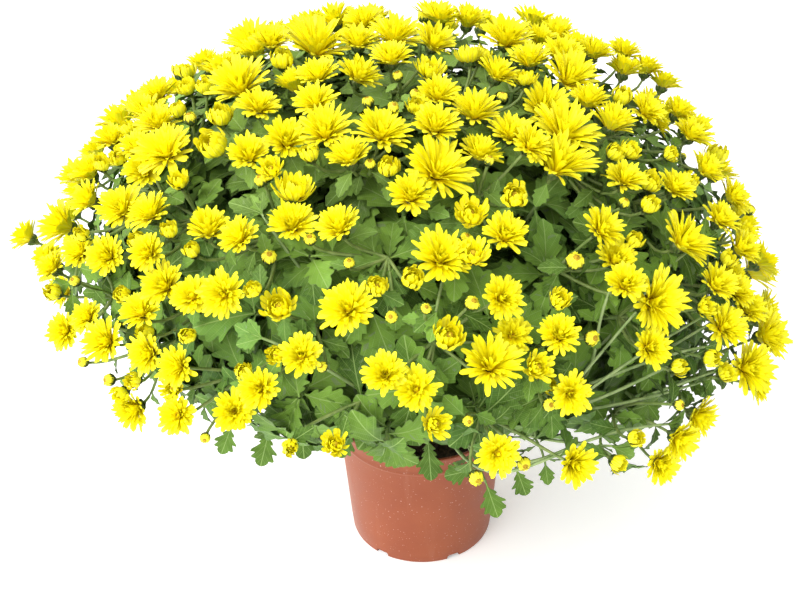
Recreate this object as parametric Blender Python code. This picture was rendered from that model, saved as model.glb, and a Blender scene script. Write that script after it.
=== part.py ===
"""A garden chrysanthemum in full bloom, standing in a round plastic nursery pot.

Metres, +Z up. The origin is the centre of the pot's flat base and the front is -Y.
A short woody stem stands in the soil and forks into branches, which carry a dense leafy
dome. Flower sprays stand out of the dome, each on its own stalk: open blooms, half-open
heads and buds.
"""

import math
import random
from collections import namedtuple

import bmesh
import bpy
from mathutils import Matrix, Vector
from mathutils.bvhtree import BVHTree

# Pot
POT_HEIGHT = 0.124
POT_RIM_RADIUS = 0.075
POT_BASE_RADIUS = 0.0645
POT_WALL = 0.0018
POT_FLOOR = 0.0025
POT_RING_BELOW_RIM = 0.016
POT_RING_PROUD = 0.0009
POT_LIP_HEIGHT = 0.0035
POT_LIP_PROUD = 0.0012
POT_SIDES = 26
POT_CORNER = 0.0015
DRAIN_SLOTS = 6
DRAIN_SLOT_WIDTH = 0.012
DRAIN_SLOT_HEIGHT = 0.0055
DRAIN_SLOT_DEPTH = 0.009
DRAIN_SLOT_PAST_WALL = 0.002
DRAIN_SLOT_BELOW_BASE = 0.001
DRAIN_SLOT_TURN = math.radians(-5)
SMOOTH_UNDER = math.radians(35)

# Soil and stem
FIT_GAP = 0.0003
SOIL_BELOW_RIM = 0.013
SOIL_CROWN = 0.004
SOIL_ROUGHNESS = 0.0012
SOIL_SLOPE = ((0.72, 0.6), (0.40, 1.0))
STEM_RADIUS = 0.008
STEM_IN_SOIL = 0.045
STEM_FORK_HEIGHT = 0.132
STEM_TAPER = 0.9
STEM_SIDES = 10
BRANCHES = 8
BRANCH_RADIUS = 0.0042
BRANCH_TAPER = 0.8
BRANCH_SIDES = 5
BRANCH_TURN = 0.3
BRANCH_DIP = -0.25
BRANCH_REACHES = (0.62, 0.35)
BRANCH_LIFT = 0.015
BRANCH_BELOW_FORK = 0.007

# Canopy, the rounded form that the blooms' faces follow
CANOPY_CENTRE = Vector((-0.006, 0.02, 0.258))
CANOPY_HALF_WIDTH = 0.300
CANOPY_HALF_DEPTH = 0.270
CANOPY_RISE = 0.205
CANOPY_FALL = 0.085
CANOPY_LEAN = math.radians(5)
CORE_SHARE = 0.81
CORE_ROUGHNESS = 0.05
CORE_SUBDIVISIONS = 3

# Leaves
LEAF_LENGTH = 0.054
LEAF_WIDTH = 0.043
LEAF_THICKNESS = 0.0016
LEAVES = 134
UNDER_LEAVES = 28
LEAF_ROOT_WIDTH = 0.003
LEAF_DROOP = (0.10, 0.22)
LEAF_SIZES = (0.82, 1.12)
LEAF_RIB = 0.42
LEAF_RIB_ABOVE = 1.5
LEAF_RIB_BELOW = 0.4
LEAF_ROOT_DEPTH = 0.6
LEAF_SWING = 1.1
LEAF_SPREAD = (0.7, 1.4)
LEAF_TRIES = 14
UNDERSIDE_BELOW = -0.3
STEEP_ENOUGH = 0.2
LOW_LEAF_OUT = (0.010, 0.018)
LOW_LEAF_RISE = (0.15, 0.75)
LOW_LEAF_DROOP = 0.3

# Half of a leaf's outline, from the stalk to the tip: along and across, as shares of its size
LEAF_OUTLINE = ((0.28, 0.44), (0.50, 0.22), (0.68, 0.42))

# Flowers
SPRAYS = 57
GROUPING_ROUNDS = 4
SUNWARD = Vector((0.12, -0.08, 0.60))
PEDICEL_RADIUS = 0.0016
STALK_RADIUS = 0.0024
STALK_LENGTH = 0.013
STALK_UPRIGHT = 1.2
HUB_RADIUS = 0.0042
HUB_TOP = 0.9
BLOOM_WIDTHS = (0.027, 0.053)
BLOOM_BACK = 0.004
BLOOM_CUP = (0.42, 0.60)
BLOOM_DIP = 0.003
MANY_PETALED = 0.044
OUTER_PETALS = (6, 7)
INNER_PETALS_FEWER = 2
INNER_PETALS_PROUD = 0.0035
INNER_PETALS_TURN = 0.4
OUTER_NOTCH = 0.70
INNER_TIP = 0.64
INNER_NOTCH = 0.40
NOTCH_RISE = 0.6
HEART_RISE = 0.35
PETAL_UNEVENNESS = 0.08
HALF_OPEN_WIDTHS = (0.011, 0.020)
CUP_TEETH = 4
CUP_HEIGHT = 1.05
CUP_MOUTH = 0.86
CUP_SHOULDER = 0.66
CUP_HOLLOW = 0.55
CUP_UNEVENNESS = 0.05
BUD_WIDTHS = (0.0065, 0.012)
BUD_SIDES = 4
CALYX_FLARE = {"open": 1.9, "half": 1.2, "bud": 1.2}
HEAD_BEHIND_FACE = {"open": 0.30, "half": 0.55, "bud": 0.5}

# Flowers that the view doesn't show
HIDDEN_CANDIDATES = 900
HIDDEN_SPACING = 0.039
HIDDEN_SPACING_SHARES = (0.9, 1.15)
HIDDEN_LOWEST = -0.28
HIDDEN_FROM_VIEW = 0.02
BEHIND_TOP_FACING = 0.42
BEHIND_TOP_LOWEST = 0.35
NEAR_EDGE_FACING = -0.35
NEAR_EDGE_SHARE = 0.965
NEAR_EDGE_WIDTHS = (0.029, 0.037)
HIDDEN_OPEN_SHARE = 0.62
HIDDEN_HALF_OPEN_SHARE = 0.22
HIDDEN_BLOOM_WIDTHS = (0.029, 0.046)

# Moves that keep a flower clear of what is already there
CLEARANCE = 0.0005
UNTESTED_SHARE = 0.10
OWN_UNTESTED_SHARE = 0.02
MOVE_TRIES = 100
MOVE_STEP = 0.0016
MOVE_ASIDE_STEP = 0.0004
MOVE_OUTWARD_SHARE = 0.05
HEAD_TILT = 0.40
TILT_STEP = 0.008
SHRINK_STEP = 0.004
GLANCING = 0.1

# The view that the seen flowers are read from, in pixels of its 800 x 603 frame
VIEW_FRAME = (800, 603)
VIEW_FOCAL = 1099.0
VIEW_EYE = Vector((-0.017, -0.792, 0.7025))
VIEW_PITCH = math.radians(30.6)
VIEW_ROLL = math.radians(-1.0)
VIEW_NEAREST = 0.40
VIEW_STEP = 0.002
VIEW_STEPS = 400

# Colours and roughness
TERRACOTTA = (0.47, 0.13, 0.07)
EARTH = (0.035, 0.022, 0.014)
LEAF_GREEN = (0.055, 0.15, 0.035)
STEM_GREEN = (0.17, 0.27, 0.07)
PETAL_YELLOW = (0.95, 0.82, 0.01)
HEART_YELLOW = (0.80, 0.46, 0.01)
SMOOTH_PLASTIC = 0.45
SATIN = 0.55
DULL = 0.95

SEED = 42

# Flowers as seen in that view: x, y and width in pixels, row by row from the left
SEEN_OPEN = (
    (157, 93, 40), (147, 112, 32), (158, 122, 28), (112, 138, 35), (164, 150, 55), (136, 146, 34),
    (141, 169, 28), (89, 172, 24), (88, 199, 26), (149, 211, 46), (122, 208, 46), (61, 224, 50),
    (26, 236, 36), (32, 255, 26), (51, 266, 30), (79, 251, 24), (107, 256, 34), (145, 261, 27),
    (209, 229, 40), (239, 246, 35), (164, 285, 46), (192, 295, 30), (141, 311, 36), (94, 321, 32),
    (104, 341, 48), (64, 331, 24), (145, 353, 42), (177, 367, 30), (134, 409, 36), (177, 415, 22),
    (223, 294, 46), (234, 411, 28), (259, 389, 40), (301, 356, 42), (292, 224, 45), (339, 227, 41),
    (249, 155, 40), (288, 144, 44), (325, 131, 50), (315, 102, 40), (259, 106, 33), (239, 84, 56),
    (223, 69, 40), (255, 51, 38), (276, 48, 26), (318, 42, 64), (358, 41, 26), (364, 22, 22),
    (395, 33, 50), (391, 61, 24), (359, 75, 36), (382, 131, 52), (350, 157, 38), (347, 307, 58),
    (385, 374, 34), (416, 389, 48), (440, 17, 28), (466, 19, 29), (506, 37, 48), (535, 20, 42),
    (540, 38, 30), (434, 43, 30), (530, 60, 33), (498, 73, 36), (558, 34, 26), (579, 45, 26),
    (591, 54, 26), (561, 56, 28), (437, 94, 40), (475, 110, 48), (511, 133, 33), (543, 100, 55),
    (571, 76, 52), (589, 102, 38), (567, 128, 66), (432, 129, 46), (440, 168, 68), (411, 195, 45),
    (476, 154, 24), (562, 162, 66), (529, 152, 24), (624, 69, 34), (625, 51, 26), (643, 71, 22),
    (664, 82, 34), (652, 108, 38), (679, 111, 28), (692, 133, 38), (615, 122, 42), (661, 163, 48),
    (625, 178, 35), (604, 228, 46), (676, 187, 20), (706, 169, 24), (733, 194, 40), (721, 218, 24),
    (742, 248, 22), (688, 238, 62), (442, 257, 58), (504, 234, 36), (520, 264, 66), (502, 298, 36),
    (492, 362, 64), (512, 348, 28), (559, 335, 42), (571, 394, 34), (627, 282, 40), (659, 302, 66),
    (651, 347, 30), (717, 284, 27), (737, 279, 27), (739, 291, 27), (747, 310, 26), (726, 326, 48),
    (768, 335, 50), (750, 368, 52), (757, 385, 22), (680, 440, 44), (660, 454, 26), (575, 464, 38),
    (498, 454, 30), (618, 254, 24), (301, 79, 20), (318, 75, 22),
)
SEEN_HALF_OPEN = (
    (187, 88, 15), (177, 110, 13), (141, 128, 15), (128, 129, 11), (117, 161, 15), (102, 164, 13),
    (110, 181, 15), (179, 181, 16), (87, 227, 17), (137, 240, 17), (169, 231, 14), (192, 250, 17),
    (53, 292, 18), (122, 294, 15), (147, 325, 19), (187, 336, 16), (177, 382, 15), (133, 381, 14),
    (121, 395, 15), (205, 87, 15), (221, 116, 21), (213, 145, 27), (283, 60, 20), (287, 120, 21),
    (310, 154, 15), (267, 166, 15), (294, 190, 26), (389, 167, 20), (276, 355, 18), (248, 374, 15),
    (245, 279, 15), (279, 306, 27), (377, 289, 20), (413, 278, 22), (449, 336, 28), (430, 70, 19),
    (465, 53, 19), (482, 56, 14), (416, 112, 16), (525, 79, 14), (622, 97, 18), (616, 152, 13),
    (630, 151, 13), (650, 182, 19), (650, 205, 18), (634, 240, 14), (693, 155, 14), (689, 181, 13),
    (702, 191, 13), (728, 259, 15), (747, 232, 16), (471, 214, 23), (519, 204, 24), (471, 252, 22),
    (560, 300, 19), (538, 367, 22), (566, 379, 16), (436, 424, 21), (335, 444, 20), (290, 447, 13),
    (706, 307, 15), (712, 358, 18), (726, 373, 16), (679, 367, 14), (636, 438, 16), (618, 463, 15),
)
SEEN_BUDS = (
    (190, 116, 12), (157, 247, 9), (75, 281, 10), (83, 362, 10), (109, 380, 11), (205, 438, 9),
    (261, 180, 12), (310, 239, 12), (269, 257, 14), (349, 263, 8), (385, 317, 12), (326, 365, 9),
    (370, 164, 10), (382, 82, 12), (368, 102, 11), (398, 76, 8), (415, 94, 9), (502, 97, 10),
    (491, 157, 8), (506, 194, 12), (465, 236, 8), (575, 261, 17), (472, 303, 14), (436, 305, 10),
    (592, 338, 14), (549, 405, 12), (468, 421, 8), (476, 478, 14), (524, 464, 13), (624, 203, 9),
    (679, 405, 9),
)

# Material numbers of a spray, and of the plant
GREEN, YELLOW, DEEP_YELLOW = range(3)
LEAFY, STEMMY = range(2)

Head = namedtuple("Head", "kind point axis width")
Spray = namedtuple("Spray", "foot up heads")


class Solid:
    """A closed triangle mesh under construction, with a material number for each face."""

    def __init__(self):
        self.points = []
        self.faces = []
        self.paints = []

    def add(self, points):
        start = len(self.points)
        self.points += [Vector(p) for p in points]
        return list(range(start, len(self.points)))

    def face(self, corners, paint=0):
        self.faces.append(tuple(corners))
        self.paints.append(paint)

    def copy(self):
        twin = Solid()
        twin.points = list(self.points)
        twin.faces = list(self.faces)
        twin.paints = list(self.paints)
        return twin

    def restore(self, twin):
        self.points, self.faces, self.paints = twin.points, twin.faces, twin.paints

    def tree(self):
        return BVHTree.FromPolygons(self.points, self.faces)

    def crosses_itself(self):
        tree = self.tree()
        return any(not set(self.faces[a]) & set(self.faces[b]) for a, b in tree.overlap(tree))

    def padded(self, pad):
        """A copy that is larger by pad all round."""
        normals = [Vector() for _ in self.points]
        for face in self.faces:
            a, b, c = (self.points[i] for i in face[:3])
            normal = (b - a).cross(c - a)
            for i in face:
                normals[i] += normal
        wider = self.copy()
        wider.points = [p + n.normalized() * pad for p, n in zip(self.points, normals)]
        return wider

    def to_object(self, name, materials):
        mesh = bpy.data.meshes.new(name)
        mesh.from_pydata(self.points, [], self.faces)
        for material in materials:
            mesh.materials.append(material)
        mesh.polygons.foreach_set("material_index", self.paints)
        mesh.update()
        obj = bpy.data.objects.new(name, mesh)
        bpy.context.collection.objects.link(obj)
        return obj


def clear_scene():
    for obj in list(bpy.data.objects):
        bpy.data.objects.remove(obj, do_unlink=True)


def material(name, colour, roughness):
    made = bpy.data.materials.new(name)
    made.use_nodes = True
    shader = made.node_tree.nodes["Principled BSDF"]
    shader.inputs["Base Color"].default_value = (*colour, 1.0)
    shader.inputs["Roughness"].default_value = roughness
    shader.inputs["Metallic"].default_value = 0.0
    return made


def turned(profile, sides, rough=None):
    """A solid turned about Z from (radius, height) points, from the axis out and back to it."""
    solid = Solid()
    rings = []
    for radius, height in profile:
        if radius == 0.0:
            rings.append(solid.add([(0.0, 0.0, height)]) * sides)
            continue
        ring = []
        for k in range(sides):
            turn = math.tau * k / sides
            lift = rough(radius, height) if rough else 0.0
            ring += solid.add([(radius * math.cos(turn), radius * math.sin(turn), height + lift)])
        rings.append(ring)
    for low, high in zip(rings, rings[1:]):
        for k in range(sides):
            after = (k + 1) % sides
            if low[k] != low[after]:
                solid.face((low[k], low[after], high[after]))
            if high[k] != high[after]:
                solid.face((low[k], high[after], high[k]))
    return solid


def pot_radius(height):
    """The pot's plain outer wall, which widens from base to rim."""
    rim = POT_RIM_RADIUS - POT_LIP_PROUD
    return POT_BASE_RADIUS + (rim - POT_BASE_RADIUS) * height / POT_HEIGHT


def make_pot(plastic):
    ring_height = POT_HEIGHT - POT_RING_BELOW_RIM
    lip_height = POT_HEIGHT - POT_LIP_HEIGHT
    profile = [
        (0.0, 0.0),
        (POT_BASE_RADIUS - POT_CORNER, 0.0),
        (pot_radius(POT_CORNER), POT_CORNER),
        (pot_radius(ring_height - POT_RING_PROUD), ring_height - POT_RING_PROUD),
        (pot_radius(ring_height) + POT_RING_PROUD, ring_height),
        (pot_radius(ring_height + POT_RING_PROUD), ring_height + POT_RING_PROUD),
        (pot_radius(lip_height - POT_LIP_PROUD), lip_height - POT_LIP_PROUD),
        (POT_RIM_RADIUS, lip_height + POT_LIP_PROUD),
        (POT_RIM_RADIUS - POT_LIP_PROUD / 2, POT_HEIGHT),
        (pot_radius(POT_HEIGHT) - POT_WALL, POT_HEIGHT),
        (pot_radius(POT_FLOOR) - POT_WALL, POT_FLOOR),
        (0.0, POT_FLOOR),
    ]
    pot = turned(profile, POT_SIDES).to_object("pot", [plastic])
    for k in range(DRAIN_SLOTS):
        cut_drain_slot(pot, math.tau * k / DRAIN_SLOTS + DRAIN_SLOT_TURN)
    pot.data.shade_smooth()
    pot.data.set_sharp_from_angle(angle=SMOOTH_UNDER)


def cut_drain_slot(pot, turn):
    """One drain slot, through the wall and the floor at the pot's bottom corner."""
    mesh = bpy.data.meshes.new("drain_slot_cutter")
    shape = bmesh.new()
    bmesh.ops.create_cube(shape, size=1.0)
    bmesh.ops.scale(shape, vec=(DRAIN_SLOT_DEPTH, DRAIN_SLOT_WIDTH, DRAIN_SLOT_HEIGHT), verts=shape.verts)
    middle = POT_BASE_RADIUS + DRAIN_SLOT_PAST_WALL - DRAIN_SLOT_DEPTH / 2
    height = DRAIN_SLOT_HEIGHT / 2 - DRAIN_SLOT_BELOW_BASE
    bmesh.ops.translate(shape, vec=(middle, 0.0, height), verts=shape.verts)
    bmesh.ops.rotate(shape, matrix=Matrix.Rotation(turn, 3, "Z"), verts=shape.verts)
    shape.to_mesh(mesh)
    shape.free()
    cutter = bpy.data.objects.new("drain_slot_cutter", mesh)
    bpy.context.collection.objects.link(cutter)
    cut = pot.modifiers.new("drain_slot", "BOOLEAN")
    cut.operation = "DIFFERENCE"
    cut.object = cutter
    apply_modifiers(pot)
    bpy.data.objects.remove(cutter, do_unlink=True)


def apply_modifiers(obj):
    depsgraph = bpy.context.evaluated_depsgraph_get()
    mesh = bpy.data.meshes.new_from_object(obj.evaluated_get(depsgraph))
    obj.modifiers.clear()
    obj.data = mesh


def make_soil(earth):
    """The root ball that fills the pot, with the plain hole that the stem stands in."""
    draw = random.Random(SEED)
    bottom = POT_FLOOR + FIT_GAP
    top = POT_HEIGHT - SOIL_BELOW_RIM
    wall_bottom = pot_radius(bottom) - POT_WALL - FIT_GAP
    wall_top = pot_radius(top) - POT_WALL - FIT_GAP
    hole = STEM_RADIUS + FIT_GAP
    crown = top + SOIL_CROWN
    profile = [
        (0.0, bottom),
        (wall_bottom, bottom),
        (wall_top, top),
        *((wall_top * out, top + SOIL_CROWN * rise) for out, rise in SOIL_SLOPE),
        (hole, crown),
        (hole, crown - STEM_IN_SOIL),
        (0.0, crown - STEM_IN_SOIL),
    ]

    def rough(radius, height):
        on_top = height >= top and radius > hole
        return draw.uniform(-SOIL_ROUGHNESS, SOIL_ROUGHNESS) if on_top else 0.0

    turned(profile, POT_SIDES, rough).to_object("soil", [earth])


def canopy_turn():
    return Matrix.Rotation(CANOPY_LEAN, 3, "Y")


def canopy_scale(below):
    return Vector((CANOPY_HALF_WIDTH, CANOPY_HALF_DEPTH, CANOPY_FALL if below else CANOPY_RISE))


def canopy_point(direction, share=1.0):
    """The canopy's surface along a direction of the unit sphere, or a share of the way out."""
    scale = canopy_scale(direction.z < 0.0)
    local = Vector(d * s for d, s in zip(direction, scale))
    return CANOPY_CENTRE + canopy_turn() @ (local * share)


def canopy_coordinates(point):
    """A point in the canopy's own unit-sphere coordinates."""
    local = canopy_turn().inverted() @ (point - CANOPY_CENTRE)
    scale = canopy_scale(local.z < 0.0)
    return Vector(c / s for c, s in zip(local, scale))


def canopy_normal(point):
    inside = canopy_coordinates(point)
    scale = canopy_scale(inside.z < 0.0)
    local = Vector(c / s for c, s in zip(inside, scale))
    return (canopy_turn() @ local).normalized()


def flower_axis(point):
    """Out of the canopy, and turned to the side that the light comes from."""
    return (canopy_normal(point) + SUNWARD).normalized()


def view_ray(x, y):
    """The direction from the view's eye through one of its pixels."""
    forward = Vector((0.0, math.cos(VIEW_PITCH), -math.sin(VIEW_PITCH)))
    level = Vector((1.0, 0.0, 0.0))
    upward = level.cross(forward)
    right = level * math.cos(VIEW_ROLL) + upward * math.sin(VIEW_ROLL)
    up = upward * math.cos(VIEW_ROLL) - level * math.sin(VIEW_ROLL)
    across = (x - VIEW_FRAME[0] / 2) / VIEW_FOCAL
    down = (y - VIEW_FRAME[1] / 2) / VIEW_FOCAL
    return forward + right * across - up * down


def seen_depth(x, y):
    """How far along a pixel's ray the canopy is met, or passed most closely."""
    ray = view_ray(x, y)
    best = None
    for step in range(VIEW_STEPS):
        depth = VIEW_NEAREST + step * VIEW_STEP
        share = canopy_coordinates(VIEW_EYE + ray * depth).length
        if share <= 1.0:
            return depth
        if best is None or share < best[0]:
            best = (share, depth)
    return best[1]


def seen_heads():
    """Every flower that the view shows, where its ray meets the canopy."""
    heads = []
    kinds = (
        ("open", SEEN_OPEN, BLOOM_WIDTHS),
        ("half", SEEN_HALF_OPEN, HALF_OPEN_WIDTHS),
        ("bud", SEEN_BUDS, BUD_WIDTHS),
    )
    for kind, places, (least, most) in kinds:
        for x, y, pixels in places:
            depth = seen_depth(x, y)
            point = VIEW_EYE + view_ray(x, y) * depth
            width = min(max(pixels * depth / VIEW_FOCAL, least), most)
            heads.append(Head(kind, point, flower_axis(point), width))
    return heads


def hidden_heads(seen, draw):
    """Flowers on the side that the view doesn't show, and behind those at the top, evenly spread."""
    heads = []
    golden = math.pi * (3.0 - math.sqrt(5.0))
    for k in range(HIDDEN_CANDIDATES):
        z = 1.0 - 2.0 * (k + 0.5) / HIDDEN_CANDIDATES
        across = math.sqrt(1.0 - z * z)
        direction = Vector((across * math.cos(golden * k), across * math.sin(golden * k), z))
        point = canopy_point(direction)
        facing = canopy_normal(point).dot((VIEW_EYE - point).normalized())
        behind_top = z > BEHIND_TOP_LOWEST and point.y > CANOPY_CENTRE.y
        if z < HIDDEN_LOWEST or facing > (BEHIND_TOP_FACING if behind_top else HIDDEN_FROM_VIEW):
            continue
        near_edge = facing > NEAR_EDGE_FACING
        if near_edge:
            point = canopy_point(direction, NEAR_EDGE_SHARE)
        near = min((head.point - point).length for head in seen + heads)
        if near < HIDDEN_SPACING * draw.uniform(*HIDDEN_SPACING_SHARES):
            continue
        axis = flower_axis(point)
        pick = draw.random()
        if pick < HIDDEN_OPEN_SHARE:
            widths = NEAR_EDGE_WIDTHS if near_edge else HIDDEN_BLOOM_WIDTHS
            heads.append(Head("open", point, axis, draw.uniform(*widths)))
        elif pick < HIDDEN_OPEN_SHARE + HIDDEN_HALF_OPEN_SHARE:
            heads.append(Head("half", point, axis, draw.uniform(*HALF_OPEN_WIDTHS)))
        else:
            heads.append(Head("bud", point, axis, draw.uniform(*BUD_WIDTHS)))
    return heads


def tilted(axis, amount, draw):
    """An axis leaning a little to a random side."""
    side = axis.orthogonal().normalized()
    side.rotate(Matrix.Rotation(draw.uniform(0.0, math.tau), 3, axis))
    return (axis + side * amount * draw.random()).normalized()


def grouped(heads):
    """Heads in sprays: spray centres spread as far apart as they can, then each head by the nearest."""
    centres = [heads[0].point]
    while len(centres) < SPRAYS:
        far = max(heads, key=lambda head: min((head.point - c).length for c in centres))
        centres.append(far.point)
    for _ in range(GROUPING_ROUNDS):
        groups = [[] for _ in centres]
        for head in heads:
            nearest = min(range(len(centres)), key=lambda k: (head.point - centres[k]).length)
            groups[nearest].append(head)
        centres = [sum((h.point for h in g), Vector()) / len(g) for g in groups if g]
    return [g for g in groups if g]


def make_core():
    """The dense inner bush: a rough dome that the leaves and sprays stand out of."""
    draw = random.Random(SEED + 1)
    ball = bmesh.new()
    bmesh.ops.create_icosphere(ball, subdivisions=CORE_SUBDIVISIONS, radius=1.0)
    core = Solid()
    for vert in ball.verts:
        share = CORE_SHARE * draw.uniform(1.0 - CORE_ROUGHNESS, 1.0 + CORE_ROUGHNESS)
        core.add([canopy_point(vert.co.normalized(), share)])
    ball.verts.index_update()
    for face in ball.faces:
        core.face([v.index for v in face.verts])
    ball.free()
    return core


def facets(core):
    """Each facet's centre and outward normal."""
    found = []
    for face in core.faces:
        a, b, c = (core.points[i] for i in face)
        found.append(((a + b + c) / 3, (b - a).cross(c - a).normalized()))
    return found


def planned_sprays(groups, core):
    """For each group of heads, the facet of the bush that its stalk stands on."""
    free = facets(core)
    sprays = []
    for heads in groups:
        centre = sum((h.point for h in heads), Vector()) / len(heads)
        inside = canopy_coordinates(centre).normalized()
        wanted = canopy_point(inside, CORE_SHARE)
        nearest = min(free, key=lambda facet: (facet[0] - wanted).length)
        free.remove(nearest)
        sprays.append(Spray(nearest[0], nearest[1], heads))
    return sprays


def ring(count, radius, height, turn=0.0):
    """(angle, local point) pairs of one level ring, counter-clockwise."""
    made = []
    for k in range(count):
        angle = turn + math.tau * k / count
        made.append((angle, Vector((radius * math.cos(angle), radius * math.sin(angle), height))))
    return made


def toothed_ring(teeth, tip, notch, turn, draw, uneven=PETAL_UNEVENNESS):
    """A ring of petal tips with notches between them. tip and notch are (radius, height)."""
    made = []
    for k in range(2 * teeth):
        radius, height = notch if k % 2 else tip
        grow = 1.0 + draw.uniform(-uneven, uneven)
        angle = turn + math.pi * k / teeth
        out = Vector((math.cos(angle), math.sin(angle), 0.0))
        made.append((angle, (out * radius + Vector((0.0, 0.0, height))) * grow))
    return made


def open_bloom(width, draw):
    """Rings of an open bloom above its stalk: an outer layer of petals, and a raised inner one."""
    radius = width / 2
    petals = OUTER_PETALS[width > MANY_PETALED]
    rise = radius * draw.uniform(*BLOOM_CUP)
    turn = draw.uniform(0.0, math.tau)
    outer_tip = (radius, BLOOM_BACK + rise)
    outer_notch = (radius * OUTER_NOTCH, BLOOM_BACK + rise * NOTCH_RISE)
    inner_tip = (radius * INNER_TIP, BLOOM_BACK + rise + INNER_PETALS_PROUD)
    inner_notch = (radius * INNER_NOTCH, BLOOM_BACK + rise * NOTCH_RISE + BLOOM_DIP)
    heart = Vector((0.0, 0.0, BLOOM_BACK + rise * HEART_RISE + BLOOM_DIP))
    outer = toothed_ring(petals, outer_tip, outer_notch, turn, draw)
    fewer = petals - INNER_PETALS_FEWER
    inner = toothed_ring(fewer, inner_tip, inner_notch, turn + INNER_PETALS_TURN, draw)
    return [outer, inner], heart, (YELLOW, YELLOW, DEEP_YELLOW)


def half_open_head(width, draw):
    """A cup of petals that still lean in round a small hollow."""
    radius = width / 2
    height = width * CUP_HEIGHT
    turn = draw.uniform(0.0, math.tau)
    mouth = (radius * CUP_MOUTH, height)
    shoulder = (radius, height * CUP_SHOULDER)
    rim = toothed_ring(CUP_TEETH, mouth, shoulder, turn, draw, CUP_UNEVENNESS)
    return [rim], Vector((0.0, 0.0, height * CUP_HOLLOW)), (YELLOW, DEEP_YELLOW)


def bud(width, draw):
    """A round bud, green below and yellow at its tip."""
    belly = ring(BUD_SIDES, width / 2, width / 2, draw.uniform(0.0, math.tau))
    return [belly], Vector((0.0, 0.0, width)), (GREEN, YELLOW)


FLOWER_FORMS = {"open": open_bloom, "half": half_open_head, "bud": bud}


def bridge(solid, low, high, paint):
    """Triangles between two rings of (angle, index), both counter-clockwise from about one angle."""
    first = min(range(len(high)), key=lambda k: abs(math.remainder(high[k][0] - low[0][0], math.tau)))
    start = low[0][0] + math.remainder(high[first][0] - low[0][0], math.tau)
    shift = start - high[first][0]
    high = [(a + shift, i) for a, i in high[first:]] + [(a + shift + math.tau, i) for a, i in high[:first]]
    low = low + [(low[0][0] + math.tau, low[0][1])]
    high = high + [(high[0][0] + math.tau, high[0][1])]
    i = j = 0
    while i < len(low) - 1 or j < len(high) - 1:
        if j == len(high) - 1 or (i < len(low) - 1 and low[i + 1][0] <= high[j + 1][0]):
            solid.face((low[i][1], low[i + 1][1], high[j][1]), paint)
            i += 1
        else:
            solid.face((low[i][1], high[j + 1][1], high[j][1]), paint)
            j += 1


def grow_head(solid, root, head, seed):
    """A stalk from the root triangle (three indices) to the head, and the head's own rings."""
    draw = random.Random(seed)
    rings, middle, paints = FLOWER_FORMS[head.kind](head.width, draw)
    frame = head.axis.to_track_quat("Z", "Y").to_matrix()
    base = head.point - head.axis * head.width * HEAD_BEHIND_FACE[head.kind]
    centre = sum((solid.points[i] for i in root), Vector()) / 3
    inward = frame.inverted()
    first = inward @ (solid.points[root[0]] - centre)
    phase = math.atan2(first.y, first.x)
    calyx = ring(3, PEDICEL_RADIUS * CALYX_FLARE[head.kind], 0.0, phase)
    low = [(a, i) for (a, _), i in zip(calyx, solid.add(base + frame @ p for _, p in calyx))]
    for k in range(3):
        after = (k + 1) % 3
        solid.face((root[k], root[after], low[after][1]))
        solid.face((root[k], low[after][1], low[k][1]))
    for level, paint in zip(rings, paints):
        high = [(a, i) for (a, _), i in zip(level, solid.add(base + frame @ p for _, p in level))]
        bridge(solid, low, high, paint)
        low = high
    top = solid.add([base + frame @ middle])[0]
    for k in range(len(low)):
        solid.face((low[k][1], low[(k + 1) % len(low)][1], top), paints[-1])


def hub_frame(spray):
    """Where a spray's stalk parts: its place, and axes with Z along the stalk."""
    centre = sum((h.point for h in spray.heads), Vector()) / len(spray.heads)
    lean = (centre - spray.foot).normalized()
    direction = (spray.up * STALK_UPRIGHT + lean).normalized()
    return spray.foot + direction * STALK_LENGTH, direction.to_track_quat("Z", "Y").to_matrix()


def hub_order(spray):
    """The spray's heads in order round its stalk, and the turn that suits them."""
    hub, frame = hub_frame(spray)
    inward = frame.inverted()
    turns = []
    for head in spray.heads:
        local = inward @ (head.point - hub)
        turns.append(math.atan2(local.y, local.x) % math.tau)
    order = sorted(range(len(turns)), key=lambda k: turns[k])
    sides = max(3, len(order))
    offsets = [turns[k] - math.tau * (n + 0.5) / sides for n, k in enumerate(order)]
    mean = math.atan2(sum(math.sin(o) for o in offsets), sum(math.cos(o) for o in offsets))
    return [spray.heads[k] for k in order], mean


def start_spray(spray):
    """The stalk from the bush to its hub. Returns the solid and a root triangle for each head."""
    heads, turn = hub_order(spray)
    hub, frame = hub_frame(spray)
    sides = max(3, len(heads))
    solid = Solid()
    foot_frame = spray.up.to_track_quat("Z", "Y").to_matrix()
    align = foot_frame.inverted() @ frame @ Vector((math.cos(turn), math.sin(turn), 0.0))
    foot_turn = math.atan2(align.y, align.x)
    foot_centre = spray.foot + spray.up * FIT_GAP
    foot = solid.add(foot_centre + foot_frame @ p for _, p in ring(sides, STALK_RADIUS, 0.0, foot_turn))
    knot = solid.add(hub + frame @ p for _, p in ring(sides, HUB_RADIUS, 0.0, turn))
    top = solid.add([hub + frame @ Vector((0.0, 0.0, HUB_RADIUS * HUB_TOP))])[0]
    for k in range(sides):
        after = (k + 1) % sides
        solid.face((foot[k], foot[after], knot[after]))
        solid.face((foot[k], knot[after], knot[k]))
    for k in range(1, sides - 1):
        solid.face((foot[0], foot[k + 1], foot[k]))
    roots = [(knot[k], knot[(k + 1) % sides], top) for k in range(sides)]
    for unused in roots[len(heads):]:
        solid.face(unused)
    return solid, heads, roots


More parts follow.
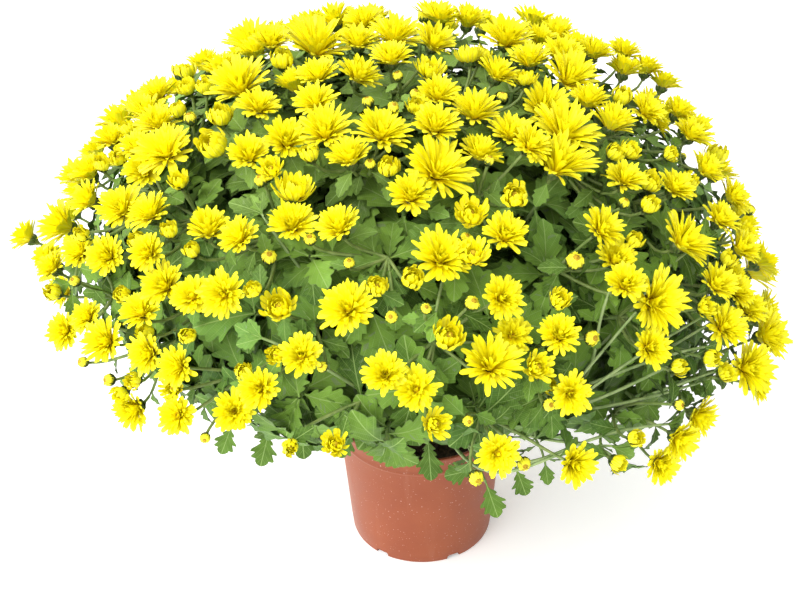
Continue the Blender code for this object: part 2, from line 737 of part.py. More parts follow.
def trial(root_points, head, seed, start):
    """The head with its stalk from a share of the way out, as a closed solid to test for room."""
    solid = Solid()
    base = head.point - head.axis * head.width * HEAD_BEHIND_FACE[head.kind]
    centre = sum(root_points, Vector()) / 3
    near = centre.lerp(base, start)
    spread = [near + (p - centre) * (1.0 - start) for p in root_points]
    root = solid.add(spread)
    solid.face((root[0], root[2], root[1]))
    grow_head(solid, root, head, seed)
    return solid


class Room:
    """What is already placed, to keep new pieces clear of it."""

    def __init__(self):
        self.items = []

    def add(self, solid):
        low = Vector(min(p[i] for p in solid.points) for i in range(3))
        high = Vector(max(p[i] for p in solid.points) for i in range(3))
        self.items.append((low, high, solid.tree()))

    def is_clear(self, solid, skip=()):
        wide = solid.padded(CLEARANCE)
        low = [min(p[i] for p in wide.points) for i in range(3)]
        high = [max(p[i] for p in wide.points) for i in range(3)]
        tree = wide.tree()
        for number, (other_low, other_high, other) in enumerate(self.items):
            if number in skip:
                continue
            apart = any(low[i] > other_high[i] or high[i] < other_low[i] for i in range(3))
            if not apart and tree.overlap(other):
                return False
        return True


def moved_heads(head, seed):
    """The head as planned, then ever further along its line of sight, aside, tilted or smaller."""
    draw = random.Random(seed)
    sight = (head.point - VIEW_EYE).normalized()
    normal = canopy_normal(head.point)
    slide = sight if normal.dot(-sight) > GLANCING else normal
    aside = slide.orthogonal().normalized()
    furthest = max(canopy_coordinates(head.point).length, 1.0) + MOVE_OUTWARD_SHARE
    for attempt in range(MOVE_TRIES):
        reach = MOVE_STEP * ((attempt + 1) // 2) * (1 if attempt % 2 else -1)
        sidestep = Matrix.Rotation(draw.uniform(0.0, math.tau), 3, slide) @ aside
        point = head.point + slide * reach + sidestep * MOVE_ASIDE_STEP * attempt
        if canopy_coordinates(point).length > furthest:
            continue
        axis = tilted(head.axis, HEAD_TILT + TILT_STEP * attempt, draw)
        width = head.width * (1.0 - SHRINK_STEP * attempt)
        yield Head(head.kind, point, axis, width)


def head_seed(spray_number, place):
    return f"{SEED} spray {spray_number} head {place}"


def make_sprays(groups, core, paints):
    """Every spray as one solid, with each head moved until it is clear of all the others.

    Returns the room that the finished sprays take up, and the places of their feet.
    """
    sprays = planned_sprays(groups, core)
    room = Room()
    room.add(core)
    stalks = []
    grown = []
    for spray in sprays:
        solid, heads, roots = start_spray(spray)
        closed = Solid()
        closed.add(solid.points)
        closed.faces = solid.faces + roots
        stalks.append((solid, heads, roots, len(room.items)))
        grown.append([closed.tree()])
        room.add(closed)
    jobs = []
    for number, (solid, heads, roots, own) in enumerate(stalks):
        for place, head in enumerate(heads):
            jobs.append((-head.width, number, place))
    chosen = {}
    for _, number, place in sorted(jobs):
        solid, heads, roots, own = stalks[number]
        seed = head_seed(number, place)
        root_points = [solid.points[i] for i in roots[place]]
        for head in moved_heads(heads[place], seed):
            attempt = trial(root_points, head, seed, UNTESTED_SHARE)
            whole = trial(root_points, head, seed, OWN_UNTESTED_SHARE)
            tree = whole.tree()
            blocked = whole.crosses_itself() or any(tree.overlap(t) for t in grown[number])
            if not blocked and room.is_clear(attempt, skip=(own,)):
                room.add(attempt)
                grown[number].append(tree)
                chosen[number, place] = head
                break
    finished = Room()
    finished.add(core)
    for number, (solid, heads, roots, own) in enumerate(stalks):
        for place in range(len(heads)):
            before = solid.copy()
            if (number, place) in chosen:
                grow_head(solid, roots[place], chosen[number, place], head_seed(number, place))
            else:
                solid.face(roots[place])
            if solid.crosses_itself():
                solid.restore(before)
                solid.face(roots[place])
        solid.to_object(f"spray_{number + 1:02d}", paints)
        finished.add(solid)
    return finished, [spray.foot for spray in sprays]


def grow_leaf(solid, root, start, direction, face_up, size, droop):
    """A lobed blade from a root triangle (left, right, under) of indices, thickest at its rib."""
    across = direction.cross(face_up).normalized()
    up = across.cross(direction).normalized()

    def at(along, side, lift):
        fall = up * droop * along * LEAF_LENGTH * along
        flat = direction * along * LEAF_LENGTH + across * side * LEAF_WIDTH
        return start + (flat - fall) * size + up * lift

    right = [at(a, s, 0.0) for a, s in LEAF_OUTLINE]
    left = [at(a, -s, 0.0) for a, s in reversed(LEAF_OUTLINE)]
    outline = [root[1], *solid.add([*right, at(1.0, 0.0, 0.0), *left]), root[0]]
    high = LEAF_THICKNESS * LEAF_RIB_ABOVE
    low = LEAF_THICKNESS * LEAF_RIB_BELOW
    top, bottom = solid.add([at(LEAF_RIB, 0.0, high), at(LEAF_RIB, 0.0, low)])
    for first, after in zip(outline, outline[1:]):
        solid.face((first, after, top))
        solid.face((after, first, bottom))
    solid.face((root[0], root[1], top))
    solid.face((root[0], bottom, root[2]))
    solid.face((root[2], bottom, root[1]))


def leaf_root(centre, direction, face_up, plane):
    """The left, right and under points of a leaf's narrow root, which lies across the plane's normal."""
    across = direction.cross(face_up).normalized()
    under = plane.cross(across).normalized()
    half = across * LEAF_ROOT_WIDTH / 2
    return [centre - half, centre + half, centre + under * LEAF_ROOT_WIDTH * LEAF_ROOT_DEPTH]


def leaf_direction(normal, draw):
    """Out of the bush and mostly downhill, turned at random."""
    downhill = Vector((0.0, 0.0, -1.0)) - normal * -normal.z
    side = downhill.normalized() if downhill.length > STEEP_ENOUGH else normal.orthogonal().normalized()
    side.rotate(Matrix.Rotation(draw.gauss(0.0, LEAF_SWING), 3, normal))
    return (normal + side * draw.uniform(*LEAF_SPREAD)).normalized()


def free_blade(start, root_points, direction, face_up, size, droop):
    """A leaf as a closed solid of its own, to test for room."""
    blade = Solid()
    root = blade.add(p + direction * LEAF_ROOT_WIDTH * LEAF_ROOT_DEPTH for p in root_points)
    blade.face((root[0], root[2], root[1]))
    grow_leaf(blade, root, start, direction, face_up, size, droop)
    return blade


def grow_leaves(core, room, taken):
    """Leaves raised from the bush's facets, each turned until it is clear of all that is there."""
    draw = random.Random(SEED + 2)
    middles = facets(core)
    free = [k for k, (centre, _) in enumerate(middles) if centre not in taken]
    draw.shuffle(free)
    above = [k for k in free if middles[k][1].z > UNDERSIDE_BELOW]
    below = [k for k in free if middles[k][1].z <= UNDERSIDE_BELOW]
    grown = 0
    for number in below[:UNDER_LEAVES] + above:
        centre, normal = middles[number]
        if grown == LEAVES:
            break
        for _ in range(LEAF_TRIES):
            direction = leaf_direction(normal, draw)
            root_points = leaf_root(centre, direction, normal, normal)
            size = draw.uniform(*LEAF_SIZES)
            droop = draw.uniform(*LEAF_DROOP)
            blade = free_blade(centre, root_points, direction, normal, size, droop)
            if not room.is_clear(blade):
                continue
            before = core.copy()
            root = core.add(root_points)
            join_root(core, number, root, centre, normal)
            grow_leaf(core, root, centre, direction, normal, size, droop)
            if core.crosses_itself():
                core.restore(before)
                continue
            room.add(blade)
            grown += 1
            break


def join_root(solid, number, root, centre, normal):
    """A facet's face gives way to triangles between its corners and the small root triangle in it."""
    frame = normal.to_track_quat("Z", "Y").to_matrix().inverted()

    def with_angle(index):
        local = frame @ (solid.points[index] - centre)
        return math.atan2(local.y, local.x) % math.tau, index

    corners = sorted(map(with_angle, solid.faces[number]))
    bridge(solid, corners, sorted(map(with_angle, root)), 0)
    solid.faces[number] = solid.faces.pop()
    solid.paints[number] = solid.paints.pop()


def tube(start, end, start_radius, end_radius, sides):
    """A straight stem between two points."""
    solid = Solid()
    frame = (end - start).normalized().to_track_quat("Z", "Y").to_matrix()
    low = solid.add(start + frame @ p for _, p in ring(sides, start_radius, 0.0))
    high = solid.add(end + frame @ p for _, p in ring(sides, end_radius, 0.0))
    for k in range(sides):
        after = (k + 1) % sides
        solid.face((low[k], low[after], high[after], high[k]))
    solid.face(low[::-1])
    solid.face(high)
    return solid


def branch_ends(number):
    """Where a branch leaves the stem, and its far end inside the bush."""
    turn = math.tau * (number + BRANCH_TURN) / BRANCHES
    direction = Vector((math.cos(turn), math.sin(turn), BRANCH_DIP)).normalized()
    end = canopy_point(direction, CORE_SHARE * BRANCH_REACHES[number % 2])
    end.z += BRANCH_LIFT
    return Vector((0.0, 0.0, STEM_FORK_HEIGHT - BRANCH_BELOW_FORK)), end


def make_branches():
    """The woody stem out of the soil, and the branches that fork from it into the bush."""
    crown = POT_HEIGHT - SOIL_BELOW_RIM + SOIL_CROWN
    foot = Vector((0.0, 0.0, crown - STEM_IN_SOIL + FIT_GAP))
    fork = Vector((0.0, 0.0, STEM_FORK_HEIGHT))
    stems = [tube(foot, fork, STEM_RADIUS, STEM_RADIUS * STEM_TAPER, STEM_SIDES)]
    for number in range(BRANCHES):
        start, end = branch_ends(number)
        stems.append(tube(start, end, BRANCH_RADIUS, BRANCH_RADIUS * BRANCH_TAPER, BRANCH_SIDES))
    return stems


def make_low_leaves(room):
    """A leaf on each branch, between the soil and the bush."""
    draw = random.Random(SEED + 3)
    leaves = []
    upward = Vector((0.0, 0.0, 1.0))
    for number in range(BRANCHES):
        start, end = branch_ends(number)
        ray = Vector((end.x, end.y, 0.0)).normalized()
        for _ in range(LEAF_TRIES):
            root = start + (end - start).normalized() * draw.uniform(*LOW_LEAF_OUT)
            direction = (ray + upward * draw.uniform(*LOW_LEAF_RISE)).normalized()
            points = leaf_root(root, direction, upward, direction)
            blade = free_blade(root, points, direction, upward, 1.0, LOW_LEAF_DROOP)
            if room.is_clear(blade):
                room.add(blade)
                leaves.append(blade)
                break
    return leaves


def make_plant(core, room, taken, paints):
    """Stem, branches, inner bush and leaves, fused into one body."""
    low_leaves = make_low_leaves(room)
    grow_leaves(core, room, taken)
    plant = core.to_object("stems_and_leaves", paints)
    parts = bpy.data.collections.new("plant_parts")
    bpy.context.scene.collection.children.link(parts)
    stems = make_branches()
    for solid in stems:
        solid.paints = [STEMMY] * len(solid.faces)
    for number, solid in enumerate(stems + low_leaves):
        put_in(parts, solid.to_object(f"plant_part_{number}", paints))
    union = plant.modifiers.new("grown_together", "BOOLEAN")
    union.operation = "UNION"
    union.operand_type = "COLLECTION"
    union.collection = parts
    union.solver = "MANIFOLD"
    apply_modifiers(plant)
    for obj in list(parts.objects):
        bpy.data.objects.remove(obj, do_unlink=True)
    bpy.data.collections.remove(parts)


def put_in(collection, obj):
    bpy.context.collection.objects.unlink(obj)
    collection.objects.link(obj)


def main():
    clear_scene()
    plastic = material("terracotta_plastic", TERRACOTTA, SMOOTH_PLASTIC)
    earth = material("dark_soil", EARTH, DULL)
    leaf_green = material("leaf_green", LEAF_GREEN, SATIN)
    stem_green = material("stem_green", STEM_GREEN, SATIN)
    petal_yellow = material("petal_yellow", PETAL_YELLOW, SATIN)
    deep_yellow = material("heart_yellow", HEART_YELLOW, SATIN)
    make_pot(plastic)
    make_soil(earth)
    draw = random.Random(SEED + 4)
    seen = seen_heads()
    heads = seen + hidden_heads(seen, draw)
    core = make_core()
    core.paints = [LEAFY] * len(core.faces)
    room, feet = make_sprays(grouped(heads), core, [stem_green, petal_yellow, deep_yellow])
    make_plant(core, room, feet, [leaf_green, stem_green])


main()
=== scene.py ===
import math
import random

import bmesh
import bpy
import numpy as np
from mathutils import Matrix, Vector


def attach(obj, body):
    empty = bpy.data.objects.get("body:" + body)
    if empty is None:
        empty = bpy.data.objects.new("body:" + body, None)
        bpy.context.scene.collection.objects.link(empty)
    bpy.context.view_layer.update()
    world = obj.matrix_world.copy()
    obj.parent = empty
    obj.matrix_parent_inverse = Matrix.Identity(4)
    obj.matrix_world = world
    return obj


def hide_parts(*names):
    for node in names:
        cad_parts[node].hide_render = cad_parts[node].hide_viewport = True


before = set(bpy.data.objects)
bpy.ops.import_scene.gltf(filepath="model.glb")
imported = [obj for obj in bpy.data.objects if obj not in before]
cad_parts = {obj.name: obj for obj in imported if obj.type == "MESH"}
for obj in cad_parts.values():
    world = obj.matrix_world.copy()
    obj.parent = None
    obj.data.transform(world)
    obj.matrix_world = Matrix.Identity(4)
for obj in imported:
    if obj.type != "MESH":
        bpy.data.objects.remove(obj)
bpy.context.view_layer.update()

SEED = 11

# Pot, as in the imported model
POT_HEIGHT = 0.124
POT_RIM_RADIUS = 0.075
POT_BASE_RADIUS = 0.0645
POT_WALL = 0.0018
POT_FLOOR = 0.0025
POT_RING_BELOW_RIM = 0.016
POT_RING_PROUD = 0.0009
POT_LIP_HEIGHT = 0.0035
POT_LIP_PROUD = 0.0012
POT_SIDES = 120
POT_SHARP_ANGLE = math.radians(38)
DRAIN_SLOTS = 6
DRAIN_SLOT_WIDTH = 0.012
DRAIN_SLOT_HEIGHT = 0.0055
DRAIN_SLOT_DEPTH = 0.009
DRAIN_SLOT_TURN = math.radians(-5)

# Soil
SOIL_HEIGHT = 0.111
SOIL_CROWN = 0.004
SOIL_RINGS = 26
SOIL_SIDES = 90
SOIL_GAP = 0.0004
SOIL_BUMPS = 420
SOIL_BUMP_SIZES = (0.0015, 0.005)
SOIL_BUMP_LIFTS = (-0.4, 0.5)
CRUMBS = 220
CRUMB_SIZES = (0.0008, 0.0028)
CRUMB_SIDES = 7
CRUMB_TURNS = np.radians((12, 55, 95, 135, 168))
CRUMB_LUMPS = (0.78, 1.2)
PALE_CRUMB_SHARE = 0.06

# Canopy, the rounded form that the flowers' faces follow
CANOPY_CENTRE = Vector((-0.006, 0.02, 0.258))
# Its half width, half depth and height from there, above and below
CANOPY_TOP = Vector((0.300, 0.270, 0.205))
CANOPY_UNDERSIDE = Vector((0.300, 0.270, 0.085))
CANOPY_TURN = Matrix.Rotation(math.radians(5), 3, "Y")
CANOPY_DEPTHS = (0.60, 1.10)
CANOPY_DEPTH_STEPS = 251

# Stems
STEM_RADIUS = 0.008
STEM_FORK = Vector((0.0, 0.0, 0.132))
STEM_START = Vector((0.0, 0.0, 0.074))
STEM_STEPS = 6
SHOOT_RADII = (0.0024, 0.0015)
SHOOT_STEPS = 16
STEM_SIDES = 6
TRUNK_SIDES = 14
# A direction that no stem follows for long, to turn its rings by
TUBE_GUIDE = np.array((0.31, 0.77, 0.56))
STALK_RADII = (0.0013, 0.00105)
STALK_STEPS = 7
STALK_LEAF_SPACING = 0.022
SEEN_SHOOT_RADII = (0.0018, 0.0010)
SEEN_SHOOT_LEAN = Vector((0.0, -0.4, 0.3))
# Leafy shoots that hang round the underside, and those that fill the gaps between the sprays
SKIRT_SHOOTS = 34
SKIRT_HEIGHTS = (-0.80, -0.15)
SKIRT_SHARES = (0.80, 0.93)
GAP_SHOOTS = 110
GAP_CANDIDATES = 1200
GAP_LOWEST = -0.35
GAP_SHARE = 0.87
# How far up a shoot its first leaf grows
FLOWERING_FIRST_LEAF = 0.50
GAP_FIRST_LEAF = 0.66
SKIRT_FIRST_LEAF = 0.40
STALK_FIRST_LEAF = 0.25
SEEN_SHOOT_FIRST_LEAF = 0.6
SEEN_STEM_FIRST_LEAF = 0.3

# Leaves
LEAF_LENGTHS = (0.026, 0.044)
SMALL_LEAF_LENGTHS = (0.014, 0.025)
LEAF_WIDTH_SHARE = 0.76
LEAF_SPACING = 0.0125
LEAF_REACH = 0.965
LEAF_WIDTHS = (0.88, 1.12)
LEAF_DROOPS = (0.3, 1.1)
LEAF_FOLDS = (0.05, 0.35)
LEAF_WAVES = (0.0, 6.0)
LEAF_TONES = (0.0, 1.0)
# Where along its length a leaf is level, the waves of its edges, and when its top would face away
LEAF_LEVEL_SHARE = 0.15
LEAF_RIPPLES = 17.0
LEAF_RIPPLE_SIZE = 0.13
LEAF_THICKNESS = 0.0004
LEAF_TOO_STEEP = 0.93
# No leaf grows so low and so near the middle, where the pot is
POT_CLEARANCE = 0.11
# Leaves below the first height are darkest, with painted shade low in the bush
SHADED_LOW_LEAF_HEIGHTS = (0.16, 0.33)
SHADED_LOW_LEAF_SHARE = 0.44
# Leaves above the second height are palest, with painted light on the top of the bush
LIT_TOP_LEAF_HEIGHTS = (0.33, 0.46)
LIT_TOP_LEAF_SHARE = 0.48
LIT_TOP_LEAF_COLOUR = (0.26, 0.37, 0.080)

# A leaf is left out where a point at one of these shares of its length comes this far in front of a
# bloom's base, and within this share of its width from its axis
BLADE_PROBES = (0.35, 0.65, 0.95)
FACE_DEPTHS = (0.003, 0.026)
FACE_SHARE = 0.42

# The steps of a shoot that its rosettes sit at, and the leaves in each
ROSETTE_STEPS = (SHOOT_STEPS, 15, 13)
ROSETTE_LEAVES = 6
# Leaves further out than the first share of the canopy are finest, those within the second coarsest
FINE_SHARE = 0.89
COARSE_SHARE = 0.84
# The angle from one leaf to the next up a shoot
GOLDEN_ANGLE = math.pi * (3.0 - math.sqrt(5.0))
LEAF_SECTORS = 6

# Half of a leaf's outline from the stalk to the tip: along, half width
LEAF_OUTLINE = np.array((
    (0.00, 0.030), (0.10, 0.028), (0.17, 0.07), (0.22, 0.20), (0.27, 0.235), (0.31, 0.16), (0.37, 0.26),
    (0.43, 0.41), (0.485, 0.425), (0.53, 0.27), (0.585, 0.32), (0.645, 0.375), (0.70, 0.34), (0.745, 0.215),
    (0.82, 0.205), (0.91, 0.135), (1.00, 0.02),
))
SMALL_LEAF_OUTLINE = np.array((
    (0.00, 0.05), (0.14, 0.05), (0.26, 0.20), (0.40, 0.40), (0.48, 0.28), (0.60, 0.355), (0.69, 0.23),
    (0.84, 0.18), (1.00, 0.02),
))
LOBE_SWEEP = 0.36

# Leaves that the photograph shows hanging at the front: root and tip in its pixels, and depth
SEEN_LEAVES = (
    (269, 431, 261, 464, 0.84), (300, 416, 304, 457, 0.84), (428, 442, 431, 478, 0.885),
    (476, 469, 446, 476, 0.87), (486, 483, 497, 515, 0.87), (516, 468, 526, 495, 0.86),
    (545, 462, 548, 484, 0.86), (399, 436, 408, 463, 0.90), (352, 430, 340, 456, 0.87),
    (72, 290, 74, 317, 0.80), (232, 425, 222, 452, 0.83), (378, 420, 386, 449, 0.89),
)
# Pale stems that it shows, mostly at the right: start, bend and end in its pixels
SEEN_STEMS = (
    (589, 390, 640, 352, 704, 316), (600, 398, 655, 376, 716, 338), (618, 404, 680, 392, 738, 368),
    (560, 452, 612, 428, 668, 424), (585, 372, 612, 340, 636, 312), (640, 300, 668, 262, 700, 244),
    (596, 345, 600, 312, 612, 286), (540, 462, 580, 444, 612, 446), (626, 370, 672, 352, 704, 347),
    (640, 398, 680, 384, 713, 372), (661, 352, 690, 336, 712, 322), (578, 443, 600, 444, 617, 460),
    (300, 268, 278, 240, 262, 214), (448, 262, 440, 288, 436, 312), (332, 372, 300, 352, 262, 338),
)
SEEN_STEM_SHARES = (0.86, 0.93, 0.96)
SEEN_STEM_RADII = (0.0017, 0.0009)
SEEN_STEM_STEPS = 8
SEEN_STEM_LEAF_TURNS = (-35, 0, 40)
SEEN_STEM_DROOPS = (0.3, 1.0)
SEEN_LEAF_DROOPS = (0.1, 0.5)
SEEN_LEAF_FOLDS = (0.05, 0.2)
SEEN_LEAF_TONES = (0.4, 0.9)
SEEN_LEAF_WIDTH_SHARE = 0.82

# Slots of a flower spray's materials
STALK, PETAL, PETAL_BACK, HEART, BRACT = range(5)

# A petal from its root to its tip: along, share of its width
PETAL_OUTLINE = np.array((
    (0.00, 0.42), (0.26, 0.72), (0.58, 0.97), (0.84, 0.96), (0.96, 0.68), (1.00, 0.30),
))
SHORT_PETAL_OUTLINE = np.array(((0.00, 0.50), (0.42, 0.92), (0.84, 0.94), (1.00, 0.36)))
BRACT_OUTLINE = np.array(((0.00, 0.80), (0.35, 1.00), (0.75, 0.70), (1.00, 0.12)))

# How unevenly petals sit round a head, how they vary, and how far the middle of a tip stands out
PETAL_PLACING = 0.22
PETAL_WIDTH_SPREAD = 0.14
PETAL_TWIST = 0.22
PETAL_POINT = 0.35
PETAL_THICKNESS = 0.00022

# Usual sizes of an open bloom and of its petals
USUAL_BLOOM_WIDTH = 0.045
PETAL_WIDTH = 0.0040
DISC_SIDES = 12
TIP_SIDES = 10

# An open bloom's rings: petals, length share, root radius, root height, rise at root and tip
OPEN_RINGS = (
    (22, 1.00, 0.0040, 0.0036, 42, 18),
    (21, 1.00, 0.0035, 0.0044, 53, 31),
    (18, 0.97, 0.0030, 0.0051, 64, 47),
    (14, 0.86, 0.0025, 0.0056, 75, 64),
    (9, 0.60, 0.0019, 0.0060, 84, 82),
)
# How many degrees all of them stand steeper
OPEN_RISES = (-7.0, 8.0)
OPEN_DISC = ((0.0026, 0.0050), (0.0025, 0.0066), (0.0019, 0.0078), (0.0011, 0.0082), (0.0004, 0.0080))
# A half-open head's rings, as shares of its width:
# petals, length, root radius, root height, rise at root and tip, how far it falls open, petal width
HALF_OPEN_RINGS = (
    (16, 0.98, 0.17, 0.14, 16, 132, 62, 0.22),
    (13, 0.86, 0.16, 0.17, 26, 138, 34, 0.24),
    (11, 0.72, 0.14, 0.20, 36, 140, 18, 0.23),
    (8, 0.52, 0.13, 0.26, 52, 138, 8, 0.21),
)
HALF_OPEN_DISC = ((0.15, 0.48), (0.145, 0.62), (0.09, 0.69), (0.02, 0.68))
# A bud, as shares of its radius: its ball, its tip and the rings on it
BUD_BALL = 0.93
BALL_TURNS = np.radians((8, 35, 65, 95, 125, 150, 172))
BUD_TIP = ((0.44, 1.80), (0.36, 1.92), (0.20, 1.97), (0.03, 1.94))
# Petals or scales, radius, rise at root and tip, width, paint
BUD_RINGS = (
    (12, 0.99, 20, 150, 0.58, PETAL_BACK),
    (8, 1.03, 12, 104, 0.80, BRACT),
    (8, 1.07, 10, 84, 0.72, BRACT),
    (8, 1.10, 8, 60, 0.66, BRACT),
)
# The calyx: its cup as (radius share, height), and its rings as (scales, root share, rise)
CALYX_CUP = ((0.62, -0.0005), (0.95, 0.0015), (1.0, 0.0036), (0.7, 0.0046))
CALYX_RINGS = ((8, 0.50, (30, 78)), (9, 0.72, (48, 84)))
STALK_FOOT = (0.0012, -0.0030)

# Blooms grow wider between these heights
CROWDED_HEIGHTS = (0.34, 0.43)
CROWDED_GROWTH = 1.12

# The photograph's camera
CAMERA_PLACE = (-0.017, -0.792, 0.7025)
CAMERA_PITCH = math.radians(30.6)
CAMERA_ROLL = math.radians(-1.0)
CAMERA_AXES = Matrix.Rotation(math.pi / 2 - CAMERA_PITCH, 3, "X") @ Matrix.Rotation(CAMERA_ROLL, 3, "Z")
CAMERA_HALF_WIDTH = math.radians(20.0)
FRAME_SIZE = (800, 603)

# Strength of the white surroundings to the left and to the right
SKY_LEFT = 2.42
SKY_RIGHT = 0.30
# The white floor's own glow, as on a lit table
FLOOR_GLOW = 0.27
FLOOR_SIZE = 40.0
FLOOR_GAP = 0.0002
# The key lamp, and the point that it aims at
KEY_PLACE = (-1.65, -1.7, 2.2)
KEY_SIZE = 2.0
KEY_POWER = 66.0
KEY_AIM = Vector((0.0, 0.0, 0.22))

UP = Vector((0.0, 0.0, 1.0))


# Meshes


class Sheets:
    """Grids of points gathered into one mesh, with a material slot, a tone and a UV place each."""

    def __init__(self):
        self.parts = []
        self.count = 0

    def add(self, grid, paint=0, tone=0.5, places=None, closed=False, flip=False):
        """grid is (sheets, rows, columns, 3), tone one number or one for each sheet."""
        sheets, rows, columns, _ = grid.shape
        index = self.count + np.arange(sheets * rows * columns).reshape(sheets, rows, columns)
        if closed:
            index = np.concatenate((index, index[:, :, :1]), axis=2)
        corners = (index[:, :-1, :-1], index[:, :-1, 1:], index[:, 1:, 1:], index[:, 1:, :-1])
        faces = np.stack(corners[::-1] if flip else corners, axis=-1).reshape(-1, 4)
        tones = np.broadcast_to(np.reshape(tone, (-1, 1, 1)), (sheets, rows, columns)).reshape(-1)
        if places is None:
            places = np.zeros((rows, columns, 2))
        places = np.broadcast_to(places, (sheets, rows, columns, 2)).reshape(-1, 2)
        self.parts.append((grid.reshape(-1, 3), faces, np.full(len(faces), paint), tones, places))
        self.count += sheets * rows * columns

    def add_tube(self, path, radii, paint, tone, sides=STEM_SIDES):
        """A round stem along a path of points, from the first radius to the second."""
        path = np.asarray(path, float)
        ahead = unit(np.gradient(path, axis=0))
        across = unit(np.cross(ahead, TUBE_GUIDE))
        other = np.cross(ahead, across)
        turns = math.tau * np.arange(sides) / sides
        round_off = across[:, None, :] * np.cos(turns)[:, None] + other[:, None, :] * np.sin(turns)[:, None]
        grid = path[:, None, :] + round_off * np.linspace(*radii, len(path))[:, None, None]
        self.add(grid[None], paint, tone, closed=True)

    def to_object(self, name, materials):
        points, faces, paints, tones, places = [np.concatenate(part) for part in zip(*self.parts)]
        mesh = bpy.data.meshes.new(name)
        mesh.vertices.add(len(points))
        mesh.vertices.foreach_set("co", points.astype(np.float32).ravel())
        mesh.loops.add(faces.size)
        mesh.loops.foreach_set("vertex_index", faces.astype(np.int32).ravel())
        mesh.polygons.add(len(faces))
        mesh.polygons.foreach_set("loop_start", np.arange(0, faces.size, 4, dtype=np.int32))
        for made in materials:
            mesh.materials.append(made)
        mesh.polygons.foreach_set("material_index", paints.astype(np.int32))
        mesh.update(calc_edges=True)
        places = places[faces.ravel()].astype(np.float32)
        mesh.uv_layers.new(name="UVMap").data.foreach_set("uv", places.ravel())
        mesh.attributes.new("tone", "FLOAT", "POINT").data.foreach_set("value", tones.astype(np.float32))
        mesh.validate()
        mesh.shade_smooth()
        return new_object(name, mesh)


def new_object(name, data):
    obj = bpy.data.objects.new(name, data)
    bpy.context.scene.collection.objects.link(obj)
    return obj


def unit(rows):
    return rows / np.linalg.norm(rows, axis=-1, keepdims=True)


def bowed_path(start, start_way, end, end_way, steps):
    """A smooth path that leaves start along start_way and arrives at end along end_way."""
    span = (end - start).length
    points = []
    for t in [k / steps for k in range(steps + 1)]:
        near = (2 * t**3 - 3 * t**2 + 1) * start + (t**3 - 2 * t**2 + t) * span * start_way
        far = (3 * t**2 - 2 * t**3) * end + (t**3 - t**2) * span * end_way
        points.append(near + far)
    return points


# The canopy, and the way from a point on it to its own coordinates


def canopy_sizes(local):
    return CANOPY_UNDERSIDE if local.z < 0.0 else CANOPY_TOP


def canopy_point(direction, share):
    return CANOPY_CENTRE + CANOPY_TURN @ (direction * canopy_sizes(direction) * share)


def canopy_shares(local):
    return Vector(c / s for c, s in zip(local, canopy_sizes(local)))


def canopy_coordinates(point):
    return canopy_shares(CANOPY_TURN.inverted() @ (point - CANOPY_CENTRE))


def canopy_normal(point):
    return (CANOPY_TURN @ canopy_shares(canopy_coordinates(point))).normalized()


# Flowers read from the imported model


def rings_round(vert, depth):
    """The vertices one edge, two edges and so on away from a vertex."""
    seen = {vert}
    rings = [[vert]]
    for _ in range(depth):
        near = dict.fromkeys(edge.other_vert(v) for v in rings[-1] for edge in v.link_edges)
        rings.append([v for v in near if v not in seen])
        seen.update(near)
    return rings[1:]


# How many vertices lie round the tip of each kind of head
HEAD_PATTERNS = (
    ((8, 12, 3, 3), "open"), ((10, 14, 3, 3), "open"), ((8, 3, 3), "half"), ((4, 3, 3), "bud"),
)


def read_spray(node):
    """Each head of a packed spray as (kind, base, axis, width), and the place where its stalks part."""
    shape = bmesh.new()
    shape.from_mesh(node.data)
    bmesh.ops.remove_doubles(shape, verts=shape.verts, dist=1e-5)
    heads = []
    knots = []
    for vert in shape.verts:
        rings = rings_round(vert, 4)
        sizes = tuple(len(r) for r in rings)
        for pattern, kind in HEAD_PATTERNS:
            if sizes[: len(pattern)] != pattern:
                continue
            calyx = rings[len(pattern) - 2]
            base = sum((v.co for v in calyx), Vector()) / 3
            axis = (vert.co - base).normalized()
            belly = rings[len(pattern) - 3]
            spread = sorted(((v.co - base).cross(axis).length for v in belly), reverse=True)
            widest = spread[: len(spread) // 2]
            heads.append((kind, base, axis, 2.0 * sum(widest) / len(widest)))
            knots += [v.co.copy() for v in rings[len(pattern) - 1]]
            break
    shape.free()
    return heads, sum(knots, Vector()) / len(knots)


# Flowers


def bent_out(slopes, steps, lengths):
    """How far out and how high each step of a row of bent blades comes."""
    zero = np.zeros((len(slopes), 1))
    return [
        np.concatenate((zero, np.cumsum(part(slopes) * steps, axis=1)), axis=1) * lengths
        for part in (np.cos, np.sin)
    ]


